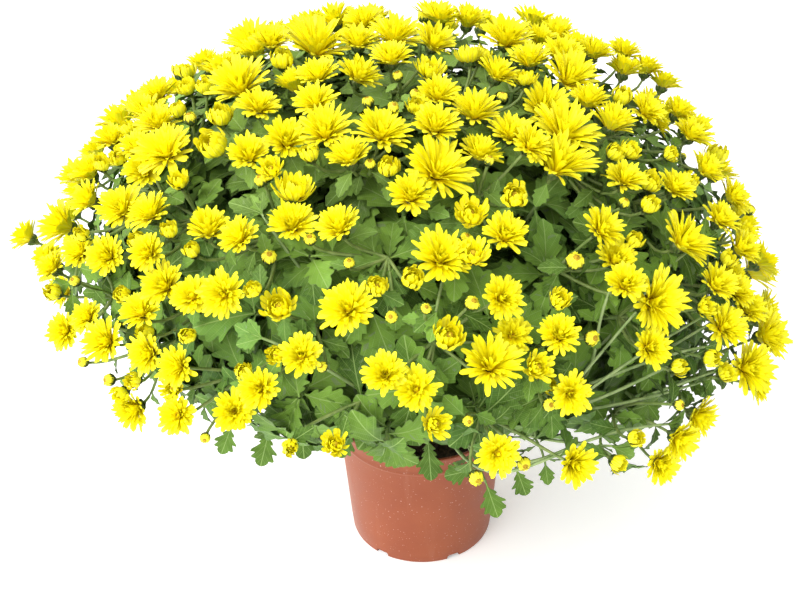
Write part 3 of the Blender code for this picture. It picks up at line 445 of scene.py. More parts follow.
def whorl(rng, outline, count, root_radius, root_height, lengths, width, rise, cup=0.22, spread=0.10,
          lean=6.0, bend=0.05, turn=0.0):
    """A ring of petals round Z. rise is the angle above level at the root and at the tip, in degrees."""
    along, wide = outline[:, 0], outline[:, 1]
    each = (count, 1)
    placing = rng.uniform(-PETAL_PLACING, PETAL_PLACING, each)
    turns = turn + math.tau * (np.arange(count)[:, None] + placing) / count
    reach = lengths * (1.0 + rng.uniform(-spread, spread * 0.5, each))
    tilt = np.radians(rng.normal(0.0, lean, each))
    middles = (along[1:] + along[:-1]) / 2
    start, end = np.radians(rise[0]), np.radians(rise[1])
    out, rose = bent_out(start + (end - start) * middles + tilt, np.diff(along), reach)
    slope = (start + (end - start) * along + tilt)[..., None]
    upright = np.array(UP)
    radial = np.stack((np.cos(turns), np.sin(turns), np.zeros(each)), axis=-1)
    aside = np.cross(upright, radial)
    middle = radial * (root_radius + out)[..., None] + upright * (root_height + rose)[..., None]
    middle = middle + aside * (rng.normal(0.0, bend, each) * along**2 * reach)[..., None]
    face = upright * np.cos(slope) - radial * np.sin(slope)
    twist = (rng.normal(0.0, PETAL_TWIST, each) * along)[..., None]
    across = aside * np.cos(twist) + face * np.sin(twist)
    widths = width * (1.0 + rng.uniform(-PETAL_WIDTH_SPREAD, PETAL_WIDTH_SPREAD, each))
    half = (widths * wide / 2)[..., None]
    raised = face * (half * cup * 2.0)
    edge = across * half
    grid = np.stack((middle - edge + raised, middle, middle + edge + raised), axis=2)
    grid[:, -1, 1] += (middle[:, -1] - middle[:, -2]) * PETAL_POINT
    return grid


def ring_of(radii, heights, sides, rng=None, rough=0.0):
    """A closed grid turned about Z from the outside in or from below up."""
    turns = math.tau * np.arange(sides) / sides
    radii = np.asarray(radii, float)[:, None]
    heights = np.repeat(np.asarray(heights, float)[:, None], sides, axis=1)
    if rng is not None:
        heights[1:-1] += rng.uniform(-rough, rough, heights[1:-1].shape)
    return np.stack((radii * np.cos(turns), radii * np.sin(turns), heights), axis=-1)[None]


class Head:
    """A flower head under construction, in its own axes."""

    def __init__(self, sheets, base, axis, rng):
        self.sheets = sheets
        self.base = np.array(base)
        self.rng = rng
        spin = Matrix.Rotation(rng.uniform(0.0, math.tau), 3, "Z")
        self.turn = np.array(axis.to_track_quat("Z", "Y").to_matrix()) @ np.array(spin)

    def lathe(self, profile, sides, paint, tone, rough=0.0):
        """A shape turned about the head's axis, from places on its outline as (radius, height)."""
        ring = ring_of(*zip(*profile), sides, self.rng if rough else None, rough)
        self.sheets.add(ring @ self.turn.T + self.base, paint, tone, closed=True)

    def petals(self, paint, outline, *sizes, **shape):
        """A ring of petals or scales. The finely outlined ones show their backs."""
        grid = whorl(self.rng, outline, *sizes, **shape) @ self.turn.T + self.base
        tones = self.rng.uniform(0.0, 1.0, len(grid))
        places = np.zeros((len(outline), 3, 2))
        places[:, :, 0] = (0.0, 0.5, 1.0)
        places[:, :, 1] = outline[:, :1]
        self.sheets.add(grid, paint, tones, places, flip=True)
        if paint == PETAL and outline is PETAL_OUTLINE:
            face = unit(np.cross(np.gradient(grid, axis=1), np.gradient(grid, axis=2)))
            back = grid - face * PETAL_THICKNESS
            self.sheets.add(back[:, :, ::2], PETAL_BACK, tones, places[:, ::2])


def add_calyx(head, width):
    """The green cup under a flower, with its scales."""
    cup = 0.0022 + width * 0.065
    profile = [STALK_FOOT, *((cup * share, height) for share, height in CALYX_CUP)]
    head.lathe(profile, DISC_SIDES, BRACT, 0.3)
    for row, (count, start, rise) in enumerate(CALYX_RINGS):
        head.petals(BRACT, BRACT_OUTLINE, count, cup * start, -0.0004 + 0.0012 * row, 0.0052 - 0.0006 * row,
                    0.0030, rise, cup=-0.18, bend=0.02, turn=0.3 * row)


def add_open_bloom(head, width):
    openness = head.rng.uniform(*OPEN_RISES)
    size = 0.5 + 0.5 * width / USUAL_BLOOM_WIDTH
    add_calyx(head, width)
    full = (width / 2 - 0.0040 * size) / math.cos(math.radians(30 + openness)) * 1.10
    for row, (count, share, root, height, low, high) in enumerate(OPEN_RINGS):
        rise = (low + openness, high + openness)
        outline = SHORT_PETAL_OUTLINE if row else PETAL_OUTLINE
        wide = PETAL_WIDTH * size * (1.0 - 0.05 * row)
        head.petals(PETAL, outline, count, root * size, height, full * share, wide, rise, spread=0.20,
                    lean=6.0 + row, turn=head.rng.uniform(0.0, 1.0))
    head.lathe(OPEN_DISC, DISC_SIDES, HEART, 0.7, 0.0003)


def add_half_open(head, width):
    """A round head whose petals still lean in over its middle, with the outer ones falling open."""
    add_calyx(head, width * 0.95)
    opened = head.rng.uniform(0.0, 1.0) ** 2
    for row, (count, share, root, height, low, high, fall, wide) in enumerate(HALF_OPEN_RINGS):
        outline = SHORT_PETAL_OUTLINE if row else PETAL_OUTLINE
        head.petals(PETAL, outline, count, width * root, width * height, width * share, width * wide,
                    (low, high - fall * opened), cup=0.20, spread=0.14, lean=6.0, turn=0.4 * row)
    head.lathe(np.array(HALF_OPEN_DISC) * width, TIP_SIDES, HEART, 0.3, 0.0002)


def add_bud(head, width):
    radius = width / 2
    ball = zip(radius * BUD_BALL * np.sin(BALL_TURNS), radius * (1.0 - BUD_BALL * np.cos(BALL_TURNS)))
    head.lathe(ball, DISC_SIDES, PETAL_BACK, 0.5)
    head.lathe(np.array(BUD_TIP) * radius, TIP_SIDES, HEART, 0.1)
    for row, (count, grow, low, high, wide, paint) in enumerate(BUD_RINGS):
        sweep, start = math.radians(high - low), math.radians(low)
        head.petals(paint, BRACT_OUTLINE if paint == BRACT else PETAL_OUTLINE, count,
                    radius * grow * math.sin(start), radius * (1.0 - grow * math.cos(start)),
                    radius * grow * sweep, radius * wide, (low, high), cup=-0.16, spread=0.06, lean=2.0,
                    bend=0.02, turn=0.39 * row)


ADD_HEAD = {"open": add_open_bloom, "half": add_half_open, "bud": add_bud}


def drawn_width(kind, base, width):
    """The blooms on top of the bush crowd each other, and are drawn wider."""
    if kind == "bud":
        return width
    return width * np.interp(base.z, CROWDED_HEIGHTS, (1.0, CROWDED_GROWTH))


def make_spray(name, heads, hub, materials):
    """The flowers of one spray on their stalks."""
    rng = np.random.default_rng(SEED * 100 + int(name[-2:]))
    sheets = Sheets()
    paths = []
    for kind, base, axis, width in heads:
        ADD_HEAD[kind](Head(sheets, base, axis, rng), drawn_width(kind, base, width))
        way = (base - hub).normalized()
        start_way = (way - canopy_normal(hub) * 0.45).normalized()
        end_way = (axis * 0.8 + way * 0.2).normalized()
        path = bowed_path(hub, start_way, base - axis * 0.0015, end_way, STALK_STEPS)
        sheets.add_tube(path, STALK_RADII, STALK, rng.uniform())
        paths.append(path)
    piece = sheets.to_object(f"{name}_flowers", materials)
    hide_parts(name)
    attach(piece, "root")
    return paths


# Stems and leaves


def shoot_path(end, end_way):
    """A shoot from the crown out to where its flowers or last leaves are."""
    level = Vector((end.x, end.y, 0.0))
    outward = level.normalized() if level.length > 0.001 else UP
    start = STEM_FORK - UP * 0.010 + outward * 0.004
    steep = 1.0 - min(level.length / 0.25, 1.0)
    start_way = (outward * (0.55 + 0.6 * (1.0 - steep)) + UP * (0.5 + 0.8 * steep)).normalized()
    return bowed_path(start, start_way, end, end_way, SHOOT_STEPS)


def walk(path, spacing, first):
    """Places at even spacing along a path, as (point, way)."""
    lengths = [0.0]
    for near, far in zip(path, path[1:]):
        lengths.append(lengths[-1] + (far - near).length)
    found = []
    distance = lengths[-1] * first
    step = 0
    while distance < lengths[-1]:
        while lengths[step + 1] < distance:
            step += 1
        share = (distance - lengths[step]) / max(lengths[step + 1] - lengths[step], 1e-9)
        way = (path[step + 1] - path[step]).normalized()
        found.append((path[step].lerp(path[step + 1], share), way))
        distance += spacing
    return found


def leaf_grid(rows, outline, columns, lower=0.0):
    """Leaf blades from one row for each leaf. An underside lies a little lower."""
    root, way, up = [rows[:, None, k:k + 3] for k in (0, 3, 6)]
    length, width, droop, fold, wave, _ = rows[:, 9:].T[..., None]
    along, half = outline[:, 0], outline[:, 1]
    middles = (along[1:] + along[:-1]) / 2
    out, rose = bent_out(-droop * (middles - LEAF_LEVEL_SHARE), np.diff(along), length)
    slope = (-droop * (along - LEAF_LEVEL_SHARE))[..., None]
    across = unit(np.cross(way, up))
    face = np.cross(across, way)
    middle = root + way * out[..., None] + face * (rose - lower)[..., None]
    tangent = way * np.cos(slope) + face * np.sin(slope)
    normal = np.cross(across, tangent)
    grids = []
    for side in np.linspace(-1.0, 1.0, columns):
        reach = half * width * side
        ripple = np.sin(along * LEAF_RIPPLES + wave + side * 1.3) * LEAF_RIPPLE_SIZE
        lift = np.abs(reach) * (fold + ripple)
        point = middle + across * reach[..., None] + tangent * (np.abs(reach) * LOBE_SWEEP)[..., None]
        grids.append(point + normal * lift[..., None])
    return np.stack(grids, axis=2)


def photo_point(x, y, depth):
    """The point at a depth behind one of the photograph's pixels."""
    focal = FRAME_SIZE[0] / 2 / math.tan(CAMERA_HALF_WIDTH)
    ray = Vector(((x - FRAME_SIZE[0] / 2) / focal, (FRAME_SIZE[1] / 2 - y) / focal, -1.0))
    return Vector(CAMERA_PLACE) + CAMERA_AXES @ ray * depth


def canopy_depth(x, y, share):
    """How far behind a pixel the canopy is at a share of its size, or nearly so at its edge."""
    depths = np.linspace(*CANOPY_DEPTHS, CANOPY_DEPTH_STEPS)
    shares = [canopy_coordinates(photo_point(x, y, depth)).length for depth in depths]
    met = [depth for depth, found in zip(depths, shares) if found <= share]
    return met[0] if met else depths[int(np.argmin(shares))]


def leaf_places(outline, columns):
    sides = np.linspace(-1.0, 1.0, columns)
    places = np.zeros((len(outline), columns, 2))
    places[:, :, 0] = 0.5 + outline[:, 1:] * sides
    places[:, :, 1] = outline[:, :1]
    return places


class Leaves:
    """Leaves gathered before their blades are worked out all at once."""

    def __init__(self):
        self.rows = []

    def add(self, root, way, up, length, width, draw, droops=LEAF_DROOPS, folds=LEAF_FOLDS,
            tones=LEAF_TONES, tone=None):
        """A leaf whose droop, fold, wave and tone are drawn in that order, unless the tone is given."""
        drawn = [draw.uniform(*ends) for ends in (droops, folds, LEAF_WAVES)]
        drawn.append(draw.uniform(*tones) if tone is None else tone)
        self.rows.append((*root, *way, *up, length, width, *drawn))

    def uncovering(self, blooms):
        """The leaves whose blades don't lie across a bloom's face."""
        rows = np.array(self.rows)
        base, axis, width = blooms[:, 0:3], blooms[:, 3:6], blooms[:, 6]
        covers = np.zeros(len(rows), dtype=bool)
        for share in BLADE_PROBES:
            probe = rows[:, 0:3] + rows[:, 3:6] * rows[:, 9:10] * share
            away = probe[:, None, :] - base
            ahead = (away * axis).sum(axis=2)
            aside = np.linalg.norm(away - ahead[:, :, None] * axis, axis=2)
            in_front = (ahead > FACE_DEPTHS[0]) & (ahead < FACE_DEPTHS[1])
            covers |= (in_front & (aside < width * FACE_SHARE)).any(axis=1)
        return rows[~covers]

    def into(self, sheets, blooms):
        """The outermost leaves are finest, and those deep in the bush coarsest."""
        rows = self.uncovering(blooms)
        middles = rows[:, 0:3] + rows[:, 3:6] * rows[:, 9:10] * 0.5
        shares = np.array([canopy_coordinates(Vector(m)).length for m in middles])
        small = rows[:, 9] < SMALL_LEAF_LENGTHS[1]
        coarse = small | (shares < COARSE_SHARE)
        fine = ~coarse & (shares > FINE_SHARE)
        for chosen, outline, columns in (
            (coarse, SMALL_LEAF_OUTLINE, 3),
            (fine, LEAF_OUTLINE, 5),
            (~coarse & ~fine, LEAF_OUTLINE, 3),
        ):
            blades = rows[chosen]
            tones = blades[:, -1]
            sheets.add(leaf_grid(blades, outline, columns), 0, tones, leaf_places(outline, columns))
            under = leaf_grid(blades, outline, 3, LEAF_THICKNESS)
            sheets.add(under, 1, tones, leaf_places(outline, 3), flip=True)


def side_way(turn, axis):
    """A direction square to an axis, turned about it."""
    return Matrix.Rotation(turn, 3, axis) @ axis.orthogonal().normalized()


def grow_along(path, spacing, first, sizes, draw, leaves):
    """Leaves in a spiral up a shoot."""
    turn = draw.uniform(0.0, math.tau)
    for point, way in walk(path, spacing, first):
        turn += GOLDEN_ANGLE + draw.uniform(-0.3, 0.3)
        side = side_way(turn, way)
        lift = draw.uniform(0.15, 0.75)
        direction = (side + way * lift + UP * draw.uniform(-0.25, 0.12)).normalized()
        normal = canopy_normal(point)
        up = (way * 0.7 + normal * 0.5 + UP * 0.35).normalized()
        length = draw.uniform(*sizes)
        tip = point + direction * length
        over = canopy_coordinates(tip).length / LEAF_REACH
        if over > 1.0:
            length *= max(0.45, 1.0 - (over - 1.0) * 3.0)
            direction = (direction - normal * 0.35).normalized()
        if abs(direction.dot(up)) > LEAF_TOO_STEEP:
            up = (up + side.cross(way) * 0.6).normalized()
        low = point.z + direction.z * length
        if low < POT_CLEARANCE and math.hypot(point.x, point.y) < POT_CLEARANCE:
            continue
        width = length * LEAF_WIDTH_SHARE * draw.uniform(*LEAF_WIDTHS)
        leaves.add(point, direction, up, length, width, draw, tone=draw.random())


def add_rosettes(path, draw, leaves):
    """Leaves spread round a shoot, close together, at its end and further in."""
    for step in ROSETTE_STEPS:
        normal = canopy_normal(path[step])
        up = (normal + UP * 0.25).normalized()
        turn = draw.uniform(0.0, math.tau)
        for k in range(ROSETTE_LEAVES):
            turn += GOLDEN_ANGLE + draw.uniform(-0.4, 0.4)
            direction = (side_way(turn, normal) + normal * draw.uniform(-0.15, 0.35)).normalized()
            length = draw.uniform(*LEAF_LENGTHS)
            width = length * LEAF_WIDTH_SHARE * draw.uniform(*LEAF_WIDTHS)
            leaves.add(path[step] - normal * 0.003 * k, direction, up, length, width, draw)


def way_at(turn, z):
    """The direction at a turn about Z and at a height on a round of radius 1."""
    across = math.sqrt(1.0 - z * z)
    return Vector((across * math.cos(turn), across * math.sin(turn), z))


def skirt_ends(draw):
    """Ends of the leafy shoots that hang round the underside of the bush."""
    ends = []
    for k in range(SKIRT_SHOOTS):
        turn = math.tau * (k + draw.uniform(-0.3, 0.3)) / SKIRT_SHOOTS
        ends.append(canopy_point(way_at(turn, draw.uniform(*SKIRT_HEIGHTS)), draw.uniform(*SKIRT_SHARES)))
    return ends


def gap_ends(taken, draw):
    """Ends of leafy shoots without flowers, each put where the others leave the most room."""
    candidates = []
    for k in range(GAP_CANDIDATES):
        z = 1.0 - 2.0 * (k + 0.5) / GAP_CANDIDATES
        if z >= GAP_LOWEST:
            way = way_at(GOLDEN_ANGLE * k, z)
            candidates.append(canopy_point(way, GAP_SHARE * draw.uniform(0.93, 1.03)))
    ends = []
    free = [min((c - t).length for t in taken) for c in candidates]
    for _ in range(GAP_SHOOTS):
        chosen = max(range(len(candidates)), key=lambda k: free[k])
        ends.append(candidates[chosen])
        free = [min(f, (c - candidates[chosen]).length) for f, c in zip(free, candidates)]
    return ends


def make_plant(hubs, stalk_paths, blooms, leaf_materials, stem_materials):
    draw = random.Random(SEED + 1)
    stems = Sheets()
    trunk = [STEM_START.lerp(STEM_FORK, k / STEM_STEPS) for k in range(STEM_STEPS + 1)]
    stems.add_tube(trunk, (STEM_RADIUS, STEM_RADIUS * 0.9), 1, 0.5, TRUNK_SIDES)
    sectors = [Leaves() for _ in range(LEAF_SECTORS)]

    def sector_of(point):
        turn = math.atan2(point.y - CANOPY_CENTRE.y, point.x - CANOPY_CENTRE.x) % math.tau
        return sectors[min(int(turn / math.tau * LEAF_SECTORS), LEAF_SECTORS - 1)]

    def grow_shoot(end, way, first, radii=SHOOT_RADII):
        path = shoot_path(end, way)
        stems.add_tube(path, radii, 0, draw.random())
        grow_along(path, LEAF_SPACING, first, LEAF_LENGTHS, draw, sector_of(end))
        return path

    def grow_crowned(end, first):
        add_rosettes(grow_shoot(end, canopy_normal(end), first), draw, sector_of(end))

    for end in hubs:
        grow_crowned(end, FLOWERING_FIRST_LEAF)
    for end in gap_ends(hubs, draw):
        grow_crowned(end, GAP_FIRST_LEAF)
    for end in skirt_ends(draw):
        grow_shoot(end, (canopy_normal(end) - UP * 0.2).normalized(), SKIRT_FIRST_LEAF)
    for path in stalk_paths:
        leaves = sector_of(path[0])
        grow_along(path, STALK_LEAF_SPACING, STALK_FIRST_LEAF, SMALL_LEAF_LENGTHS, draw, leaves)
    for root_x, root_y, tip_x, tip_y, depth in SEEN_LEAVES:
        root = photo_point(root_x, root_y, depth)
        tip = photo_point(tip_x, tip_y, depth + 0.004)
        way = (tip - root).normalized()
        end_way = (way + SEEN_SHOOT_LEAN).normalized()
        grow_shoot(root, end_way, SEEN_SHOOT_FIRST_LEAF, SEEN_SHOOT_RADII)
        length = (tip - root).length * 1.1
        facing = (Vector(CAMERA_PLACE) - root).normalized()
        sector_of(root).add(root, way, facing, length, length * SEEN_LEAF_WIDTH_SHARE, draw,
                            SEEN_LEAF_DROOPS, SEEN_LEAF_FOLDS, SEEN_LEAF_TONES)
    for pixels in SEEN_STEMS:
        start, bend, end = [
            photo_point(x, y, canopy_depth(x, y, share))
            for x, y, share in zip(pixels[0::2], pixels[1::2], SEEN_STEM_SHARES)
        ]
        shares = [k / SEEN_STEM_STEPS for k in range(1, SEEN_STEM_STEPS + 1)]
        path = shoot_path(start, (bend - start).normalized())
        path += [start.lerp(bend, s).lerp(bend.lerp(end, s), s) for s in shares]
        stems.add_tube(path, SEEN_STEM_RADII, 2, draw.random())
        leaves = sector_of(end)
        tip = path[-SEEN_STEM_STEPS:]
        grow_along(tip, STALK_LEAF_SPACING, SEEN_STEM_FIRST_LEAF, SMALL_LEAF_LENGTHS, draw, leaves)
        ahead = (path[-1] - path[-2]).normalized()
        normal = canopy_normal(end)
        for turn in SEEN_STEM_LEAF_TURNS:
            way = Matrix.Rotation(math.radians(turn), 3, normal) @ ahead
            length = draw.uniform(*SMALL_LEAF_LENGTHS)
            leaves.add(end, way, normal, length, length * LEAF_WIDTH_SHARE, draw, SEEN_STEM_DROOPS)
    piece = stems.to_object("stems", stem_materials)
    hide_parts("stems_and_leaves")
    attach(piece, "root")
    for number, leaves in enumerate(sectors):
        sheets = Sheets()
        leaves.into(sheets, blooms)
        piece = sheets.to_object(f"leaves_{number + 1}", leaf_materials)
        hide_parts("stems_and_leaves")
        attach(piece, "root")


# Pot and soil


def pot_radius(height):
    rim = POT_RIM_RADIUS - POT_LIP_PROUD
    return POT_BASE_RADIUS + (rim - POT_BASE_RADIUS) * height / POT_HEIGHT


def make_pot(plastic):
    ring = POT_HEIGHT - POT_RING_BELOW_RIM
    lip = POT_HEIGHT - POT_LIP_HEIGHT
    profile = [(0.0004, 0.0008), (0.030, 0.0008), (0.0315, 0.0), (POT_BASE_RADIUS - 0.0016, 0.0)]
    for k in range(4):
        turn = math.radians(-90 + 30 * k)
        profile.append((POT_BASE_RADIUS - 0.0016 + 0.0014 * math.cos(turn), 0.0014 + 0.0014 * math.sin(turn)))
    for k in range(1, 9):
        height = 0.002 + (ring - 0.003 - 0.002) * k / 8
        profile.append((pot_radius(height), height))
    for share, proud in ((-1.0, 0.25), (-0.6, 0.75), (0.0, 1.0), (0.6, 0.75), (1.0, 0.2)):
        height = ring + share * 0.0016
        profile.append((pot_radius(height) + POT_RING_PROUD * proud, height))
    for height, proud in ((ring + 0.0045, 0.0), (lip - 0.0012, 0.0), (lip, 0.35), (lip + 0.0008, 0.85)):
        profile.append((pot_radius(height) + POT_LIP_PROUD * proud, height))
    profile += [
        (POT_RIM_RADIUS, lip + 0.0016), (POT_RIM_RADIUS, POT_HEIGHT - 0.0007),
        (POT_RIM_RADIUS - 0.0004, POT_HEIGHT - 0.0001), (POT_RIM_RADIUS - 0.0014, POT_HEIGHT),
        (pot_radius(POT_HEIGHT) - POT_WALL, POT_HEIGHT - 0.0006), (pot_radius(lip) - POT_WALL, lip),
        (pot_radius(POT_FLOOR) - POT_WALL, POT_FLOOR), (0.0004, POT_FLOOR),
    ]
    sheets = Sheets()
    sheets.add(ring_of(*zip(*profile), POT_SIDES), closed=True)
    pot = sheets.to_object("pot_shell", [plastic])
    cap_ends(pot)
    for k in range(DRAIN_SLOTS):
        cut_drain_slot(pot, math.tau * k / DRAIN_SLOTS + DRAIN_SLOT_TURN)
    pot.data.shade_smooth()
    pot.data.set_sharp_from_angle(angle=POT_SHARP_ANGLE)
    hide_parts("pot")
    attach(pot, "root")


def cap_ends(obj):
    """Closes a turned shape's two small holes on its axis."""
    shape = bmesh.new()
    shape.from_mesh(obj.data)
    bmesh.ops.holes_fill(shape, edges=[e for e in shape.edges if e.is_boundary], sides=0)
    bmesh.ops.recalc_face_normals(shape, faces=shape.faces)
    shape.to_mesh(obj.data)
    shape.free()


def cut_drain_slot(pot, turn):
    shape = bmesh.new()
    bmesh.ops.create_cube(shape, size=1.0)
    bmesh.ops.scale(shape, vec=(DRAIN_SLOT_DEPTH, DRAIN_SLOT_WIDTH, DRAIN_SLOT_HEIGHT), verts=shape.verts)
    bmesh.ops.bevel(shape, geom=shape.edges[:], offset=0.0009, segments=2, affect="EDGES")
    outer = POT_BASE_RADIUS + 0.002 - DRAIN_SLOT_DEPTH / 2
    bmesh.ops.translate(shape, vec=(outer, 0.0, DRAIN_SLOT_HEIGHT / 2 - 0.001), verts=shape.verts)
    bmesh.ops.rotate(shape, matrix=Matrix.Rotation(turn, 3, "Z"), verts=shape.verts)
    mesh = bpy.data.meshes.new("drain_slot_cutter")
    shape.to_mesh(mesh)
    shape.free()
    cutter = new_object("drain_slot_cutter", mesh)
    cut = pot.modifiers.new("drain_slot", "BOOLEAN")
    cut.operation = "DIFFERENCE"
    cut.object = cutter
    made = bpy.data.meshes.new_from_object(pot.evaluated_get(bpy.context.evaluated_depsgraph_get()))
    pot.modifiers.clear()
    pot.data = made
    bpy.data.objects.remove(cutter, do_unlink=True)


def soil_height(x, y, bumps):
    reach = math.hypot(x, y) / 0.07
    height = SOIL_HEIGHT + SOIL_CROWN * (1.0 - min(reach, 1.0) ** 2)
    for where_x, where_y, size, lift in bumps:
        away = ((x - where_x) ** 2 + (y - where_y) ** 2) / size**2
        if away < 6.0:
            height += lift * math.exp(-away)
    return height


def place_within(radius, draw):
    turn, out = draw.uniform(0.0, math.tau), radius * math.sqrt(draw.random())
    return out * math.cos(turn), out * math.sin(turn)


def make_soil(earth):
    """The soil's crumbly top and its plain sides, with loose crumbs on it."""
    draw = random.Random(SEED + 2)
    wall = pot_radius(SOIL_HEIGHT) - POT_WALL - SOIL_GAP
    bumps = []
    for _ in range(SOIL_BUMPS):
        x, y = place_within(wall, draw)
        size = draw.uniform(*SOIL_BUMP_SIZES)
        bumps.append((x, y, size, draw.uniform(*SOIL_BUMP_LIFTS) * size))
    sides = (POT_FLOOR + SOIL_GAP, SOIL_HEIGHT * 0.5, SOIL_HEIGHT - 0.002)
    profile = [(pot_radius(height) - POT_WALL - SOIL_GAP, height) for height in sides]
    profile += [(wall * (1.0 - k / (SOIL_RINGS - 0.2)), SOIL_HEIGHT) for k in range(SOIL_RINGS)]
    grid = ring_of(*zip(*profile), SOIL_SIDES)
    for point in grid[0, len(sides):].reshape(-1, 3):
        point[2] = soil_height(point[0], point[1], bumps)
    sheets = Sheets()
    sheets.add(grid, closed=True)
    add_crumbs(sheets, wall, bumps, draw)
    soil = sheets.to_object("potting_soil", [earth])
    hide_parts("soil")
    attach(soil, "root")


def add_crumbs(sheets, wall, bumps, draw):
    """Loose crumbs of soil, and a few pale grains, as small lumpy balls."""
    ball = ring_of(np.sin(CRUMB_TURNS), -np.cos(CRUMB_TURNS), CRUMB_SIDES)[0]
    for _ in range(CRUMBS):
        x, y = place_within(wall - 0.002, draw)
        size = draw.uniform(*CRUMB_SIZES) * draw.uniform(0.6, 1.0)
        lumps = np.array([[draw.uniform(*CRUMB_LUMPS) for _ in range(CRUMB_SIDES)] for _ in CRUMB_TURNS])
        pale = draw.random() < PALE_CRUMB_SHARE
        tip, roll = [Matrix.Rotation(draw.uniform(0.0, math.tau), 3, axis) for axis in "XZ"]
        spin = np.array(tip @ roll)
        grid = (ball * lumps[..., None] * size) @ spin.T
        place = np.array((x, y, soil_height(x, y, bumps) + size * 0.35))
        sheets.add((grid + place)[None], 0, 1.0 if pale else draw.uniform(0.0, 0.6), closed=True)


# Materials


class Nodes:
    """The nodes of a material or of the surroundings, and short ways to join them."""

    def __init__(self, tree):
        self.tree = tree

    def fill(self, made, values):
        """Joins or sets inputs of a node, given by name or number."""
        for socket, value in dict(values).items():
            if isinstance(value, bpy.types.NodeSocket):
                self.tree.links.new(value, made.inputs[socket])
            else:
                made.inputs[socket].default_value = value
        return made

    def node(self, kind, values=(), **settings):
        """A new node with its settings and inputs."""
        made = self.tree.nodes.new("ShaderNode" + kind)
        for name, value in settings.items():
            setattr(made, name, value)
        return self.fill(made, values)

    def split(self, vector):
        return self.node("SeparateXYZ", {"Vector": vector}).outputs


class Look(Nodes):
    """A material under construction."""

    def __init__(self, name, roughness, specular):
        self.material = bpy.data.materials.new(name)
        self.material.use_nodes = True
        super().__init__(self.material.node_tree)
        self.shade({"Roughness": roughness, "Specular IOR Level": specular})

    def shade(self, values):
        self.fill(self.tree.nodes["Principled BSDF"], values)

    def math(self, operation, *values):
        return self.node("Math", enumerate(values), operation=operation).outputs[0]

    def times(self, first, second):
        return self.math("MULTIPLY", first, second)

    def mix(self, share, first, second, blend="MIX"):
        ends = [c if isinstance(c, bpy.types.NodeSocket) else (*c, 1.0) for c in (first, second)]
        values = {"Factor": share, 6: ends[0], 7: ends[1]}
        return self.node("Mix", values, data_type="RGBA", blend_type=blend).outputs[2]

    def noise(self, scale, detail=3.0, roughness=0.55, stretch=None):
        place = self.node("TexCoord").outputs["Object"]
        if stretch:
            place = self.node("Mapping", {"Scale": stretch, "Vector": place}).outputs["Vector"]
        values = {"Scale": scale, "Detail": detail, "Roughness": roughness, "Vector": place}
        return self.node("TexNoise", values).outputs["Fac"]

    def between(self, value, low, high, start=0.0, end=1.0):
        values = {"Value": value, "From Min": low, "From Max": high, "To Min": start, "To Max": end}
        return self.node("MapRange", values, interpolation_type="SMOOTHSTEP").outputs["Result"]

    def blend(self, value, low, high, first, second, most=1.0):
        """One colour below a value, and at most a share of the other above it."""
        return self.mix(self.between(value, low, high, 0.0, most), first, second)

    def height(self):
        return self.split(self.node("TexCoord").outputs["Object"])["Z"]

    def tone(self):
        return self.node("Attribute", attribute_name="tone").outputs["Fac"]

    def places(self):
        """The sheet's own coordinates: across and along."""
        found = self.split(self.node("UVMap", uv_map="UVMap").outputs["UV"])
        return found["X"], found["Y"]

    def colour(self, source):
        self.shade({"Base Color": source})

    def bump(self, height, strength, distance):
        made = self.node("Bump", {"Strength": strength, "Distance": distance, "Height": height})
        self.shade({"Normal": made.outputs["Normal"]})


def petal_look(name, root, middle, tip):
    look = Look(name, 0.48, 0.25)
    across, along = look.places()
    warm = look.blend(along, 0.0, 0.45, root, middle)
    body = look.blend(along, 0.62, 1.0, warm, tip)
    deeper = look.mix(look.times(look.tone(), 0.18), body, root)
    patch = look.blend(look.noise(90.0), 0.35, 0.75, deeper, tip, 0.22)
    grooves = look.math("PINGPONG", look.times(across, 4.0), 1.0)
    # Painted shade: the petal is darkened along its middle crease and its edges, where its grooves lie
    shade = look.between(grooves, 0.0, 0.45, 0.93, 1.0)
    painted_groove_shade = look.node("CombineColor", dict.fromkeys(range(3), shade)).outputs["Color"]
    look.colour(look.mix(1.0, patch, painted_groove_shade, "MULTIPLY"))
    look.bump(look.math("ADD", grooves, look.times(look.noise(700.0, 2.0), 0.5)), 0.35, 0.00025)
    look.shade({"Roughness": look.between(look.noise(300.0), 0.3, 0.7, 0.42, 0.58)})
    return look.material


def heart_look():
    look = Look("flower_heart", 0.7, 0.2)
    grain = look.noise(900.0, 2.0)
    brown = look.blend(grain, 0.35, 0.65, (0.17, 0.080, 0.008), (0.48, 0.28, 0.015))
    warm = look.blend(look.noise(220.0), 0.4, 0.7, brown, (0.60, 0.42, 0.02), 0.5)
    look.colour(look.mix(look.tone(), warm, (0.85, 0.64, 0.01)))
    look.bump(grain, 0.8, 0.0006)
    return look.material


def bract_look():
    look = Look("calyx_scales", 0.6, 0.3)
    across, along = look.places()
    green = look.mix(look.tone(), (0.050, 0.105, 0.022), (0.10, 0.17, 0.035))
    edge = look.between(look.math("ABSOLUTE", look.math("SUBTRACT", across, 0.5)), 0.28, 0.5)
    tipped = look.mix(look.times(edge, 0.55), green, (0.20, 0.22, 0.08))
    look.colour(look.blend(along, 0.7, 1.0, tipped, (0.16, 0.12, 0.035), 0.6))
    look.bump(look.noise(900.0), 0.4, 0.0003)
    return look.material


def stem_look(name, low, high):
    look = Look(name, 0.5, 0.35)
    streaks = look.noise(160.0, 3.0, 0.6, (1.0, 1.0, 0.25))
    look.colour(look.blend(streaks, 0.3, 0.7, low, high))
    look.bump(look.noise(700.0, 3.0, 0.6, (1.0, 1.0, 0.2)), 0.5, 0.0003)
    return look.material


